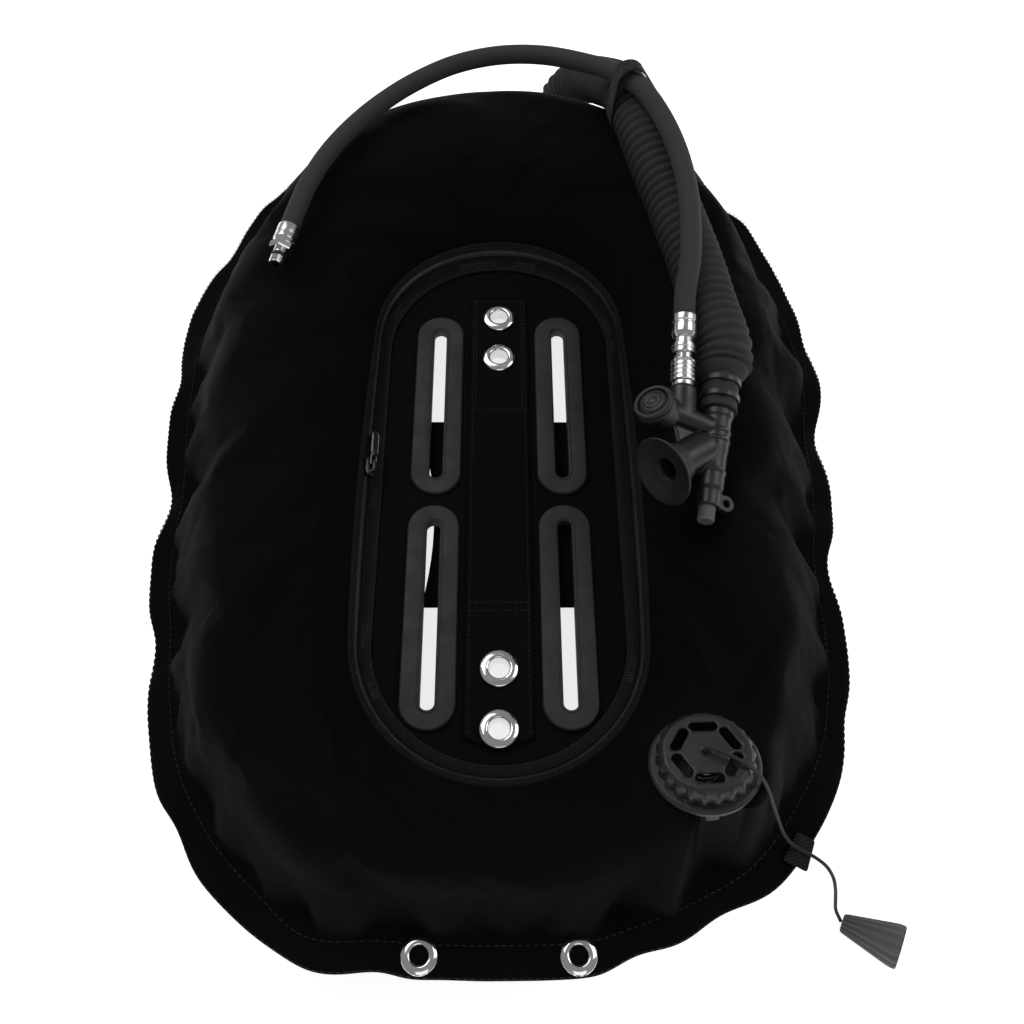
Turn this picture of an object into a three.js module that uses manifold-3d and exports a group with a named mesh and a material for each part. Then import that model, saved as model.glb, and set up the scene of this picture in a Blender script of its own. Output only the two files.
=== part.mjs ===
// Donut buoyancy wing for diving: an inflated ring of fabric with a flat centre panel, a power
// inflator on a corrugated hose, a low pressure hose and a pull dump valve.
// Millimetres. The wing lies on its back: +Z up, +Y towards the head end, +X to the wearer's left.
// Origin: on the floor under the middle of the wing.

import * as THREE from 'three';
import { mergeVertices } from 'three/addons/utils/BufferGeometryUtils.js';
import Module from 'manifold-3d';

const wasm = await Module();
wasm.setup();

// ---------------------------------------------------------------- driving dimensions

const GAP = 0.3; // running and seating clearance between pieces

// the ring of fabric
const WING_LENGTH = 688; // over the outer edges of the sewn margin
const WING_WIDTH = 452;
const SHOULDER_SHIFT = 10; // the widest line lies this far towards the head end
const SEAM_MARGIN = 18; // flat margin outside the seam at the sides and top
const HEM_MARGIN = 23; // the same at the foot, where the edge eyelets sit
const HEAD_FULLNESS = 2.35; // superellipse exponents of the outline
const FOOT_FULLNESS = 3.3;
const SEAM_HEIGHT = 50; // height of the seam between the two shells
const SHELL = 1.2; // fabric thickness
const LOFT = 20; // crest height over the seam where the ring is narrow
const LOFT_PER_WIDTH = 0.31; // and what each millimetre of ring width adds
const CREST_LEAN = 1.15; // exponent that moves the crest outwards; 1 keeps it in the middle
const FOOT_LEAN = 0.4; // and what is added to it at the foot
const REAR_DEPTH = 58; // how deep the rear shell would hang if it didn't meet the floor

// the opening in the middle and its zip
const OPENING_RADIUS = 82;
const OPENING_HALF_LENGTH = 197;
const OPENING_Y = -36;
const PANEL = 3; // centre panel thickness
const PANEL_BOTTOM = 45;
const LAP = 3; // flat lap of a tape or shell on the panel
const COIL_WIDTH = 3;
const TAPE_INNER = 4.6; // distance from the opening's edge to the coil
const TAPE_OUTER = 16; // to the far edge of the outer tape
const SHELL_START = 12; // to the front shell's edge, which laps the outer tape
const TAPE = 1.2;

// slots and eyelets
const SLOT_LENGTH = 130;
const SLOT_WIDTH = 9;
const RIM_WIDTH = 13; // rim outside the slot
const RIM_WEB = 3; // wall of the rim inside the panel's cut
const SLOT_X = 43.2; // slot centres from the middle line
const SLOT_PITCH = 164; // upper to lower slot centres
const PATTERN_Y = -50; // middle of the slot and bolt pattern
const BOLT_PITCH = 279.4; // 11 inch plate spacing
const BOLT_STEP = 38; // between the two eyelets of a pair
const EYELET_HOLE = 12.8;
const EYELET_DIAMETER = 24.7;
const EDGE_EYELET_HOLE = 9.5;
const EDGE_EYELET_DIAMETER = 20.6;
const EDGE_EYELET_X = 42;
const SPINE_WIDTH = 42;
const SPINE = 2;

// dump valve
const VALVE_X = 106;
const VALVE_Y = -250;
const VALVE_UP = new THREE.Vector3(-0.08, 0.24, 0.96).normalize(); // it faces the opening a little
const VALVE_STAND = 5.2; // its seat over the fabric
const VALVE_BARREL = 23.5; // radius through the fabric
const VALVE_FLANGE = 29;
const CAP_RADIUS = 25.5;
const CAP_TEETH = 22;
const CAP_VENTS = 6;
const CORD_RADIUS = 1;

// hoses
const HOSE_RADIUS = 18.5; // corrugated hose over its ribs
const LP_RADIUS = 6.75;
const SPIGOT_RADIUS = 13.5;

// inflator
const BARREL_RADIUS = 7.8;
const COLLAR_RADIUS = 9.8;
const TAIL_RADIUS = 5;
const BUTTON_REACH = 46; // barrel axis to the inflate button
const BUTTON_RADIUS = 9.2;
const DEFLATE_RADIUS = 5.2;
const NIPPLE_OFFSET = 25; // barrel axis to the hose nipple's axis
const SLEEVE_TRAVEL = 4;

const STATIONS = 32; // round the ring

// ---------------------------------------------------------------- materials

const cloth = new THREE.MeshStandardMaterial({ color: 0x17181a, roughness: 0.9, metalness: 0 });
const lining = new THREE.MeshStandardMaterial({ color: 0x1d2a3c, roughness: 0.6, metalness: 0 });
const rubber = new THREE.MeshStandardMaterial({ color: 0x2b2c2e, roughness: 0.75, metalness: 0 });
const plastic = new THREE.MeshStandardMaterial({ color: 0x1c1d1f, roughness: 0.4, metalness: 0 });
const chrome = new THREE.MeshStandardMaterial({ color: 0xd7d9dc, roughness: 0.18, metalness: 1 });
const steel = new THREE.MeshStandardMaterial({ color: 0xb9bcc0, roughness: 0.3, metalness: 1 });

const part = new THREE.Group();

// ---------------------------------------------------------------- helpers

/** Adds one named piece to a group. */
function add(name, geometry, material, group = part) {
  const mesh = new THREE.Mesh(geometry, material);
  mesh.name = name;
  group.add(mesh);
  return mesh;
}

/** A geometry of only positions, with shared corners merged. */
function merged(geometry) {
  const bare = geometry.clone();
  bare.deleteAttribute('normal');
  bare.deleteAttribute('uv');
  return mergeVertices(bare, 1e-4);
}

/** A closed geometry as a solid that can be cut and joined. */
function solid(geometry) {
  const bare = merged(geometry);
  return new wasm.Manifold(new wasm.Mesh({
    numProp: 3,
    vertProperties: new Float32Array(bare.attributes.position.array),
    triVerts: new Uint32Array(bare.index.array),
  }));
}

/** A solid as a geometry again. */
function geometryOf(body) {
  const mesh = body.getMesh();
  const geometry = new THREE.BufferGeometry();
  geometry.setAttribute('position', new THREE.BufferAttribute(new Float32Array(mesh.vertProperties), 3));
  geometry.setIndex(new THREE.BufferAttribute(new Uint32Array(mesh.triVerts), 1));
  return geometry;
}

/** Joins geometries and takes others away. */
function carved(joins, cuts = []) {
  let body = solid(joins[0]);
  for (const other of joins.slice(1)) body = body.add(solid(other));
  for (const cut of cuts) body = body.subtract(solid(cut));
  return geometryOf(body);
}

/** A body of revolution about Z from [radius, height] pairs that close on themselves. */
function ring(profile, segments = 16) {
  const points = [...profile, profile[0]].map(([r, z]) => new THREE.Vector2(r, z));
  return oriented(new THREE.LatheGeometry(points, segments).rotateX(Math.PI / 2));
}

/** A body of revolution about Z whose profile starts and ends on the axis. */
function turned(profile, segments = 16) {
  const points = profile.map(([r, z]) => new THREE.Vector2(r, z));
  return oriented(new THREE.LatheGeometry(points, segments).rotateX(Math.PI / 2));
}

/** A round rod along Z between two heights. */
function rod(radius, low, high, segments = 16) {
  return turned([[0, low], [radius, low], [radius, high], [0, high]], segments);
}

/** Turns a geometry made about Z so that its Z runs along a direction, from a base point. */
function along(geometry, base, direction) {
  const turn = new THREE.Quaternion().setFromUnitVectors(
    new THREE.Vector3(0, 0, 1), direction.clone().normalize());
  return geometry.applyQuaternion(turn).translate(base.x, base.y, base.z);
}

/** The same geometry with its faces pointing out. */
function oriented(geometry) {
  const bare = merged(geometry);
  const p = bare.attributes.position;
  const index = bare.index.array;
  const [a, b, c] = [new THREE.Vector3(), new THREE.Vector3(), new THREE.Vector3()];
  const keep = [];
  let volume = 0;
  for (let k = 0; k < index.length; k += 3) {
    const corners = [index[k], index[k + 1], index[k + 2]];
    if (new Set(corners).size < 3) continue;
    a.fromBufferAttribute(p, corners[0]);
    b.fromBufferAttribute(p, corners[1]);
    c.fromBufferAttribute(p, corners[2]);
    volume += a.dot(b.cross(c));
    keep.push(corners);
  }
  if (volume < 0) for (const corners of keep) corners.reverse();
  bare.setIndex(keep.flat());
  return bare;
}

/** A closed band: rings of equal length, each ring and the row of rings closing on themselves. */
function band(rings) {
  const count = rings[0].length;
  const index = [];
  rings.forEach((_, row) => {
    const next = (row + 1) % rings.length;
    for (let k = 0; k < count; k += 1) {
      const after = (k + 1) % count;
      const [a, b] = [row * count + k, row * count + after];
      const [c, d] = [next * count + after, next * count + k];
      index.push(a, b, c, a, c, d);
    }
  });
  const geometry = new THREE.BufferGeometry();
  const flat = rings.flat().flatMap((point) => point.toArray());
  geometry.setAttribute('position', new THREE.Float32BufferAttribute(flat, 3));
  geometry.setIndex(index);
  return oriented(geometry);
}

/** A round tube that follows a smooth curve through points. */
function tube(points, radius, sides, steps) {
  const section = new THREE.Shape();
  section.absarc(0, 0, radius, 0, 2 * Math.PI);
  const curve = new THREE.CatmullRomCurve3(points.map((p) => new THREE.Vector3(...p)), false, 'centripetal');
  return oriented(new THREE.ExtrudeGeometry(section, {
    steps,
    curveSegments: sides / 2, // a full circle is drawn with twice as many
    extrudePath: curve,
    bevelEnabled: false,
  }));
}

/** A wire coil about Z. */
function spring(radius, wire, low, high, turns) {
  const points = [];
  const steps = turns * 10;
  for (let k = 0; k <= steps; k += 1) {
    const angle = (2 * Math.PI * k) / 10;
    points.push([radius * Math.cos(angle), radius * Math.sin(angle), low + ((high - low) * k) / steps]);
  }
  return tube(points, wire, 6, steps);
}

/** An upright slot outline: a stadium of a length and width about a centre. */
function stadium(Type, length, width, x = 0, y = 0) {
  const radius = width / 2;
  const straight = length / 2 - radius;
  const outline = new Type();
  outline.absarc(x, y + straight, radius, 0, Math.PI, false);
  outline.absarc(x, y - straight, radius, Math.PI, 2 * Math.PI, false);
  outline.closePath();
  return outline;
}

/** A flat plate between two heights from an outline. */
function plate(outline, low, high, segments = 6) {
  const geometry = new THREE.ExtrudeGeometry(outline, {
    depth: high - low,
    bevelEnabled: false,
    curveSegments: segments,
  });
  return geometry.translate(0, 0, low);
}

// ---------------------------------------------------------------- the ring's surfaces

/** Outline of half an egg at the head and another at the foot, from the top centre clockwise. */
class Outline extends THREE.Curve {
  constructor(halfWidth, head, foot) {
    super();
    Object.assign(this, { halfWidth, head, foot });
    this.arcLengthDivisions = 1200;
  }

  getPoint(t, target = new THREE.Vector3()) {
    const [s, c] = [Math.sin(2 * Math.PI * t), Math.cos(2 * Math.PI * t)];
    const power = 2 / (c >= 0 ? HEAD_FULLNESS : FOOT_FULLNESS);
    const x = this.halfWidth * Math.sign(s) * Math.abs(s) ** power;
    const y = (c >= 0 ? this.head : this.foot) * Math.sign(c) * Math.abs(c) ** power;
    return target.set(x, SHOULDER_SHIFT + y, 0);
  }
}

/** The middle opening, from the top centre clockwise, evenly spaced, with outward normals. */
function openingPoints(count) {
  const straight = OPENING_HALF_LENGTH - OPENING_RADIUS;
  const quarter = (Math.PI / 2) * OPENING_RADIUS;
  const length = 4 * quarter + 4 * straight;
  const points = [];
  for (let k = 0; k < count; k += 1) {
    const mirrored = 2 * k > count;
    const way = (length * (mirrored ? count - k : k)) / count;
    const side = mirrored ? -1 : 1;
    let normal = new THREE.Vector3(side, 0, 0);
    let centre = straight - (way - quarter);
    if (way < quarter) {
      normal.set(side * Math.sin(way / OPENING_RADIUS), Math.cos(way / OPENING_RADIUS), 0);
      centre = straight;
    } else if (way > quarter + 2 * straight) {
      const angle = (way - quarter - 2 * straight) / OPENING_RADIUS;
      normal.set(side * Math.cos(angle), -Math.sin(angle), 0);
      centre = -straight;
    }
    const point = normal.clone().multiplyScalar(OPENING_RADIUS);
    point.y += centre + OPENING_Y;
    points.push({ point, normal });
  }
  return points;
}

const head = WING_LENGTH / 2 - SHOULDER_SHIFT;
const foot = WING_LENGTH / 2 + SHOULDER_SHIFT;
const edgeCurve = new Outline(WING_WIDTH / 2, head, foot);
const seamCurve = new Outline(WING_WIDTH / 2 - SEAM_MARGIN, head - SEAM_MARGIN, foot - HEM_MARGIN);
const opening = openingPoints(STATIONS);
const seam = seamCurve.getSpacedPoints(STATIONS).slice(0, STATIONS);
const edge = edgeCurve.getSpacedPoints(STATIONS).slice(0, STATIONS);

const PANEL_TOP = PANEL_BOTTOM + PANEL;
const FRONT_EDGE = PANEL_TOP + GAP + TAPE; // front face height at the opening
const REAR_EDGE = PANEL_BOTTOM - GAP - SHELL; // rear face height at the opening
const SEAM_TOP = SEAM_HEIGHT + GAP / 2 + SHELL;
const SEAM_BOTTOM = SEAM_HEIGHT - GAP / 2 - SHELL;

/** How full the ring is at a share of the way out, from 0 at its edges to 1 at the crest. */
function fullness(station, v) {
  const towardsFoot = Math.max(0, -Math.cos((2 * Math.PI * station) / STATIONS)) ** 1.5;
  const lean = CREST_LEAN + FOOT_LEAN * towardsFoot;
  return Math.sin(Math.PI * Math.min(v, 1) ** lean) ** 0.8;
}

/** A point of the ring's outer face at a station (may be fractional) and share of the way out. */
function facePoint(side, station, v) {
  const [low, share] = [Math.floor(station), station - Math.floor(station)];
  const at = (list, k) => list[((k % STATIONS) + STATIONS) % STATIONS];
  const from = at(opening, low).point.clone().lerp(at(opening, low + 1).point, share);
  const to = at(seam, low).clone().lerp(at(seam, low + 1), share);
  const width = from.distanceTo(to);
  const point = from.lerp(to, v);
  if (side === 'front') {
    const crest = LOFT + LOFT_PER_WIDTH * width;
    point.z = FRONT_EDGE + (SEAM_TOP - FRONT_EDGE) * v + crest * fullness(station, v);
  } else {
    point.z = Math.max(0, REAR_EDGE + (SEAM_BOTTOM - REAR_EDGE) * v - REAR_DEPTH * fullness(station, v));
  }
  return point;
}

/** The outward normal of the ring's face. */
function faceNormal(side, station, v) {
  const [before, after] = [Math.max(v - 0.01, 0), Math.min(v + 0.01, 1)];
  const out = facePoint(side, station, after).sub(facePoint(side, station, before));
  const round = facePoint(side, station + 0.5, v).sub(facePoint(side, station - 0.5, v));
  const normal = out.cross(round).normalize();
  return normal.multiplyScalar(Math.sign(normal.z) * (side === 'front' ? 1 : -1));
}

/** A point of the ring at a depth under its outer face. */
function layer(side, station, v, depth) {
  return facePoint(side, station, v).addScaledVector(faceNormal(side, station, v), -depth);
}

/** One ring of points round the wing at a depth; v may be a share or a distance in mm. */
function loop(side, depth, { v = null, distance = 0 }) {
  return opening.map(({ point }, k) => {
    const share = v === null ? distance / point.distanceTo(seam[k]) : v;
    return layer(side, k, share, depth);
  });
}

/** A flat ring of points inside the opening, at a height. */
function lapLoop(inset, height) {
  return opening.map(({ point, normal }) => point.clone().addScaledVector(normal, -inset).setZ(height));
}

/** A flat ring at the seam or the outer edge, at a height. */
function flatLoop(points, height) {
  return points.map((point) => point.clone().setZ(height));
}

/** The place on the front face over a plan position, as a point and its normal. */
function onFace(side, x, y) {
  let best = { distance: Infinity };
  for (let station = 0; station < STATIONS; station += 0.1) {
    for (let v = 0.02; v < 1; v += 0.01) {
      const point = facePoint(side, station, v);
      const distance = Math.hypot(point.x - x, point.y - y);
      if (distance < best.distance) best = { distance, point, normal: faceNormal(side, station, v) };
    }
  }
  return best;
}

// ---------------------------------------------------------------- shells and bladder

const CROSS = [0.24, 0.4, 0.56, 0.72, 0.88]; // shares of the way out where the shells have rows

function shell(side, start) {
  const seamOut = side === 'front' ? SEAM_TOP : SEAM_BOTTOM;
  const seamIn = side === 'front' ? SEAM_TOP - SHELL : SEAM_BOTTOM + SHELL;
  return band([
    ...start,
    ...CROSS.map((v) => loop(side, 0, { v })),
    flatLoop(seam, seamOut),
    flatLoop(edge, seamOut),
    flatLoop(edge, seamIn),
    flatLoop(seam, seamIn),
    ...[...CROSS].reverse().map((v) => loop(side, SHELL, { v })),
  ]);
}

const frontStart = [
  loop('front', SHELL, { distance: TAPE_OUTER }),
  loop('front', SHELL, { distance: SHELL_START }),
  loop('front', 0, { distance: SHELL_START }),
  loop('front', 0, { distance: TAPE_OUTER }),
];
const rearStart = [
  loop('rear', SHELL, { v: 0.12 }),
  loop('rear', SHELL, { distance: TAPE_INNER }),
  lapLoop(LAP, REAR_EDGE + SHELL),
  lapLoop(LAP, REAR_EDGE),
  loop('rear', 0, { distance: TAPE_INNER }),
  loop('rear', 0, { v: 0.12 }),
];

const EDGE_EYELET_Y = -WING_LENGTH / 2 + EDGE_EYELET_DIAMETER / 2 + 2.2;
const edgeEyelets = [-EDGE_EYELET_X, EDGE_EYELET_X];
const edgeHoles = edgeEyelets.map((x) => rod(EDGE_EYELET_HOLE / 2 + 1.2, SEAM_HEIGHT - 5, SEAM_HEIGHT + 5, 12)
  .translate(x, EDGE_EYELET_Y, 0));

const valveSeat = onFace('front', VALVE_X, VALVE_Y).point.addScaledVector(VALVE_UP, VALVE_STAND);
const valveHole = along(rod(VALVE_BARREL + GAP, -26, 10, 20), valveSeat, VALVE_UP);

const ELBOW_X = 42;
const ELBOW_Y = 305;
const elbowSeat = onFace('rear', ELBOW_X, ELBOW_Y);
const elbowHole = along(rod(SPIGOT_RADIUS + GAP, -20, 8, 16), elbowSeat.point, elbowSeat.normal);
const elbowRoom = along(rod(SPIGOT_RADIUS + 5, -20, 8, 16), elbowSeat.point, elbowSeat.normal);

add('front_shell', carved([shell('front', frontStart)], [...edgeHoles, valveHole]), cloth);
add('rear_shell', carved([shell('rear', rearStart)], [...edgeHoles, elbowHole]), cloth);

const SKIN = 0.8; // bladder wall
const BLADDER_CLEAR = 3; // space between shells and bladder

/** The bladder's ring at a depth under the shells' outer faces. */
function bladderBody(depth) {
  const shares = [0.12, 0.24, 0.56, 0.88];
  return band([
    ...shares.map((v) => loop('front', depth, { v })),
    ...[...shares].reverse().map((v) => loop('rear', depth, { v })),
  ]);
}

const bladder = carved(
  [bladderBody(SHELL + BLADDER_CLEAR)],
  [bladderBody(SHELL + BLADDER_CLEAR + SKIN), valveHole, elbowRoom],
);
add('air_bladder', bladder, lining);

// ---------------------------------------------------------------- centre panel

const boltYs = [1, -1].flatMap((end) => [
  PATTERN_Y + (end * BOLT_PITCH) / 2 + (end * BOLT_STEP) / 2,
  PATTERN_Y + (end * BOLT_PITCH) / 2 - (end * BOLT_STEP) / 2,
]);
const slots = [
  ['upper_left', -SLOT_X, PATTERN_Y + SLOT_PITCH / 2],
  ['upper_right', SLOT_X, PATTERN_Y + SLOT_PITCH / 2],
  ['lower_left', -SLOT_X, PATTERN_Y - SLOT_PITCH / 2],
  ['lower_right', SLOT_X, PATTERN_Y - SLOT_PITCH / 2],
];
const EYELET_WALL = 0.8;
const eyeletCut = EYELET_HOLE / 2 + EYELET_WALL + 0.4;

/** A round hole in an outline. */
function roundHole(x, y, radius) {
  const hole = new THREE.Path();
  hole.absarc(x, y, radius, 0, 2 * Math.PI, true);
  return hole;
}

const panelOutline = stadium(
  THREE.Shape, 2 * (OPENING_HALF_LENGTH - GAP), 2 * (OPENING_RADIUS - GAP), 0, OPENING_Y);
const webCut = RIM_WEB + GAP;
for (const [, x, y] of slots) {
  panelOutline.holes.push(stadium(THREE.Path, SLOT_LENGTH + 2 * webCut, SLOT_WIDTH + 2 * webCut, x, y));
}
for (const y of boltYs) panelOutline.holes.push(roundHole(0, y, eyeletCut));
add('centre_panel', plate(panelOutline, PANEL_BOTTOM, PANEL_TOP), cloth);

const SPINE_BOTTOM = PANEL_TOP + GAP;
const SPINE_TOP = SPINE_BOTTOM + SPINE;
const spineLow = OPENING_Y - (OPENING_HALF_LENGTH - OPENING_RADIUS)
  - Math.sqrt((OPENING_RADIUS - LAP - 5 * GAP) ** 2 - (SPINE_WIDTH / 2) ** 2);
const spineHigh = boltYs[0] + EYELET_DIAMETER / 2 + 7;
const spineOutline = new THREE.Shape();
spineOutline.moveTo(-SPINE_WIDTH / 2, spineLow);
spineOutline.lineTo(SPINE_WIDTH / 2, spineLow);
spineOutline.lineTo(SPINE_WIDTH / 2, spineHigh);
spineOutline.lineTo(-SPINE_WIDTH / 2, spineHigh);
spineOutline.closePath();
for (const y of boltYs) spineOutline.holes.push(roundHole(0, y, eyeletCut));
add('spine_sleeve', plate(spineOutline, SPINE_BOTTOM, SPINE_TOP), cloth);

/** A moulded rim that grips the panel round a slot: a lip above, a lip below and a web. */
function slotRim(x, y) {
  const [top, lip] = [PANEL_TOP + GAP, 2.5];
  const bottom = PANEL_BOTTOM - GAP;
  const profile = [
    [0, bottom - 1.9], [0, top + lip], [RIM_WIDTH - 1, top + lip], [RIM_WIDTH, top],
    [RIM_WEB, top], [RIM_WEB, bottom], [RIM_WIDTH, bottom], [RIM_WIDTH - 1, bottom - 1.9],
  ];
  const straight = (SLOT_LENGTH - SLOT_WIDTH) / 2;
  return band(profile.map(([out, z]) => {
    const points = [];
    for (let k = 0; k < 16; k += 1) {
      const upper = k < 8;
      const angle = (Math.PI * (upper ? k : k - 8)) / 7 + (upper ? 0 : Math.PI);
      const radius = SLOT_WIDTH / 2 + out;
      const px = x + radius * Math.cos(angle);
      const py = y + (upper ? straight : -straight) + radius * Math.sin(angle);
      points.push(new THREE.Vector3(px, py, z));
    }
    return points;
  }));
}
for (const [name, x, y] of slots) add(`slot_rim_${name}`, slotRim(x, y), rubber);

// the flap behind the middle of the panel, sewn to it along a raised middle strip
const FLAP_LOW = -125;
const FLAP_HIGH = 20;
const FLAP_HALF_WIDTH = 58;
const flapOutline = new THREE.Shape();
flapOutline.moveTo(FLAP_HALF_WIDTH, FLAP_LOW);
flapOutline.lineTo(FLAP_HALF_WIDTH, FLAP_HIGH);
flapOutline.lineTo(-FLAP_HALF_WIDTH, FLAP_HIGH);
flapOutline.quadraticCurveTo(-34, -52, -FLAP_HALF_WIDTH + 8, FLAP_LOW);
flapOutline.closePath();
const flapTop = PANEL_BOTTOM - GAP - 4;
const flapStrip = new THREE.BoxGeometry(24, FLAP_HIGH - FLAP_LOW - 30, 4.5);
flapStrip.translate(0, (FLAP_HIGH + FLAP_LOW) / 2, flapTop + 4 - 2.25);
add('rear_flap', carved([plate(flapOutline, flapTop - 1.5, flapTop, 6), flapStrip]), cloth);

// ---------------------------------------------------------------- eyelets

/** A rolled eyelet and its washer, clamped through a stack of fabric. */
function eyelet(name, x, y, low, high, hole, diameter) {
  const bore = hole / 2;
  const barrel = bore + EYELET_WALL;
  const rim = diameter / 2;
  const washerTop = low - GAP;
  const washerLow = washerTop - 1.3;
  const curl = washerLow - GAP;
  add(`${name}_eyelet`, ring([
    [bore, curl - 0.9], [bore, high + 1.4], [bore + 1.4, high + 2.2], [rim - 1, high + 1.7],
    [rim, high + GAP], [barrel, high + GAP], [barrel, curl], [barrel + 2, curl],
    [barrel + 1.6, curl - 0.9],
  ], 12).translate(x, y, 0), chrome);
  add(`${name}_washer`, ring([
    [barrel + 0.4, washerLow], [barrel + 0.4, washerTop], [rim - 0.6, washerTop], [rim - 0.6, washerLow],
  ], 12).translate(x, y, 0), chrome);
}
boltYs.forEach((y, k) => {
  eyelet(`centre_${k + 1}`, 0, y, PANEL_BOTTOM, SPINE_TOP, EYELET_HOLE, EYELET_DIAMETER);
});
['edge_left', 'edge_right'].forEach((name, k) => {
  eyelet(name, edgeEyelets[k], EDGE_EYELET_Y, SEAM_BOTTOM, SEAM_TOP, EDGE_EYELET_HOLE, EDGE_EYELET_DIAMETER);
});

// ---------------------------------------------------------------- zip

const TAPE_DEPTH = SHELL + GAP; // the tapes lie under the shell's level
const innerTape = band([
  lapLoop(LAP, PANEL_TOP + GAP),
  lapLoop(LAP, PANEL_TOP + GAP + TAPE),
  loop('front', 0, { distance: TAPE_INNER * 0.35 }),
  loop('front', 0, { distance: TAPE_INNER }),
  loop('front', TAPE, { distance: TAPE_INNER }),
  loop('front', TAPE, { distance: TAPE_INNER * 0.35 }),
]);
add('zipper_inner_tape', innerTape, cloth);

const coilStart = TAPE_INNER + GAP;
const coilEnd = coilStart + COIL_WIDTH;
const coilRings = [
  loop('front', 0.3, { distance: coilStart }),
  loop('front', -1.2, { distance: (coilStart + coilEnd) / 2 }),
  loop('front', 0.3, { distance: coilEnd }),
  loop('front', 1.8, { distance: (coilStart + coilEnd) / 2 }),
];
add('zipper_coil', band(coilRings), plastic);

const outerTape = band([
  loop('front', TAPE_DEPTH - TAPE, { distance: coilEnd + GAP }),
  loop('front', TAPE_DEPTH, { distance: SHELL_START }),
  loop('front', TAPE_DEPTH, { distance: TAPE_OUTER }),
  loop('front', TAPE_DEPTH + TAPE, { distance: TAPE_OUTER }),
  loop('front', TAPE_DEPTH + TAPE, { distance: SHELL_START }),
  loop('front', TAPE_DEPTH, { distance: coilEnd + GAP }),
]);
add('zipper_outer_tape', outerTape, cloth);

// the slider rides outside the coil on the left side, its pull lies towards the head end
const SLIDER_Y = -32;
const sliderX = -(OPENING_RADIUS + (coilStart + coilEnd) / 2);
const sliderSeat = onFace('front', sliderX, SLIDER_Y);
const slider = new THREE.Group();
const sliderUp = new THREE.Vector3(sliderSeat.normal.x, 0, sliderSeat.normal.z).normalize();
const sliderAcross = new THREE.Vector3(0, 1, 0).cross(sliderUp);
slider.setRotationFromMatrix(new THREE.Matrix4().makeBasis(
  sliderAcross, new THREE.Vector3(0, 1, 0), sliderUp));
slider.position.copy(sliderSeat.point);
part.add(slider);
const SLIDER_LOW = 1.9;
const sliderPlate = new THREE.BoxGeometry(9, 13, 1.6).translate(0, 0, SLIDER_LOW + 0.8);
const sliderBridge = new THREE.BoxGeometry(3, 9, 3.4).translate(0, 0, SLIDER_LOW + 1.6 + 1.6);
const sliderWindow = rod(1.1, -3, 3, 10).rotateY(Math.PI / 2).translate(0, 1, SLIDER_LOW + 3.2);
add('zipper_slider', carved([sliderPlate, sliderBridge], [sliderWindow]), steel, slider);

const PULL_LENGTH = 26;
const pullY = 1;
const pullZ = SLIDER_LOW + 3.2;
const pullPin = rod(0.75, -2.6, 2.6, 10).rotateY(Math.PI / 2).translate(0, pullY, pullZ);
const pullArms = [-1, 1].map((side) => new THREE.BoxGeometry(1.2, 9, 1.4)
  .translate(side * 2.5, pullY + 3.8, pullZ));
const pullOutline = stadium(THREE.Shape, PULL_LENGTH - 6, 7, 0, pullY + 7 + (PULL_LENGTH - 6) / 2);
const pullTab = plate(pullOutline, pullZ - 0.7, pullZ + 0.7, 6);
add('zipper_pull', carved([pullPin, ...pullArms, pullTab]), steel, slider);

// ---------------------------------------------------------------- dump valve

const valve = new THREE.Group();
valve.position.copy(valveSeat);
valve.quaternion.setFromUnitVectors(new THREE.Vector3(0, 0, 1), VALVE_UP);
part.add(valve);

const BASE_TOP = 3.8;
const SEAT_HEIGHT = -9;
const COLLAR = 21.8; // radius of the base's upstand inside the cap
add('dump_valve_base', ring([
  [VALVE_FLANGE, 0.5], [VALVE_FLANGE, 2.6], [VALVE_FLANGE - 1.5, BASE_TOP], [COLLAR, BASE_TOP],
  [COLLAR, 9], [20.4, 9], [20.4, SEAT_HEIGHT], [14, SEAT_HEIGHT], [14, SEAT_HEIGHT - 2],
  [20.4, SEAT_HEIGHT - 2], [20.4, -14], [VALVE_BARREL, -14], [VALVE_BARREL, 0.5],
], 20), plastic, valve);

const CAP_TOP = 14;
const capWall = ring([
  [COLLAR + 2 * GAP, BASE_TOP + GAP], [CAP_RADIUS - 1.4, BASE_TOP + GAP], [CAP_RADIUS - 1.4, CAP_TOP - 1.5],
  [CAP_RADIUS - 3, CAP_TOP], [1.9, CAP_TOP], [1.9, CAP_TOP - 2.2], [COLLAR + 2 * GAP, CAP_TOP - 2.2],
], CAP_TEETH);
const teeth = [];
const vents = [];
for (let k = 0; k < CAP_TEETH; k += 1) {
  const tooth = new THREE.BoxGeometry(2.4, 3.4, 5.5).translate(CAP_RADIUS - 1.2, 0, BASE_TOP + GAP + 4);
  teeth.push(tooth.rotateZ((2 * Math.PI * k) / CAP_TEETH));
}
for (let k = 0; k < CAP_VENTS; k += 1) {
  const vent = stadium(THREE.Shape, 15, 6, 15.5, 0);
  vents.push(plate(vent, CAP_TOP - 4, CAP_TOP + 1, 3).rotateZ((2 * Math.PI * (k + 0.5)) / CAP_VENTS));
}
add('dump_valve_cap', carved([capWall, ...teeth], vents), plastic, valve);

const POPPET_BASE = SEAT_HEIGHT + GAP;
add('dump_poppet', turned([
  [0, POPPET_BASE], [17.5, POPPET_BASE], [17.5, POPPET_BASE + 1.6], [2.4, POPPET_BASE + 1.6],
  [2.4, 6], [0, 6],
], 16), plastic, valve);
add('dump_spring', spring(8, 0.6, POPPET_BASE + 1.6 + GAP + 0.7, CAP_TOP - 2.2 - GAP - 0.7, 4), steel, valve);

// ---------------------------------------------------------------- dump cord, its tab and knob

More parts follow.
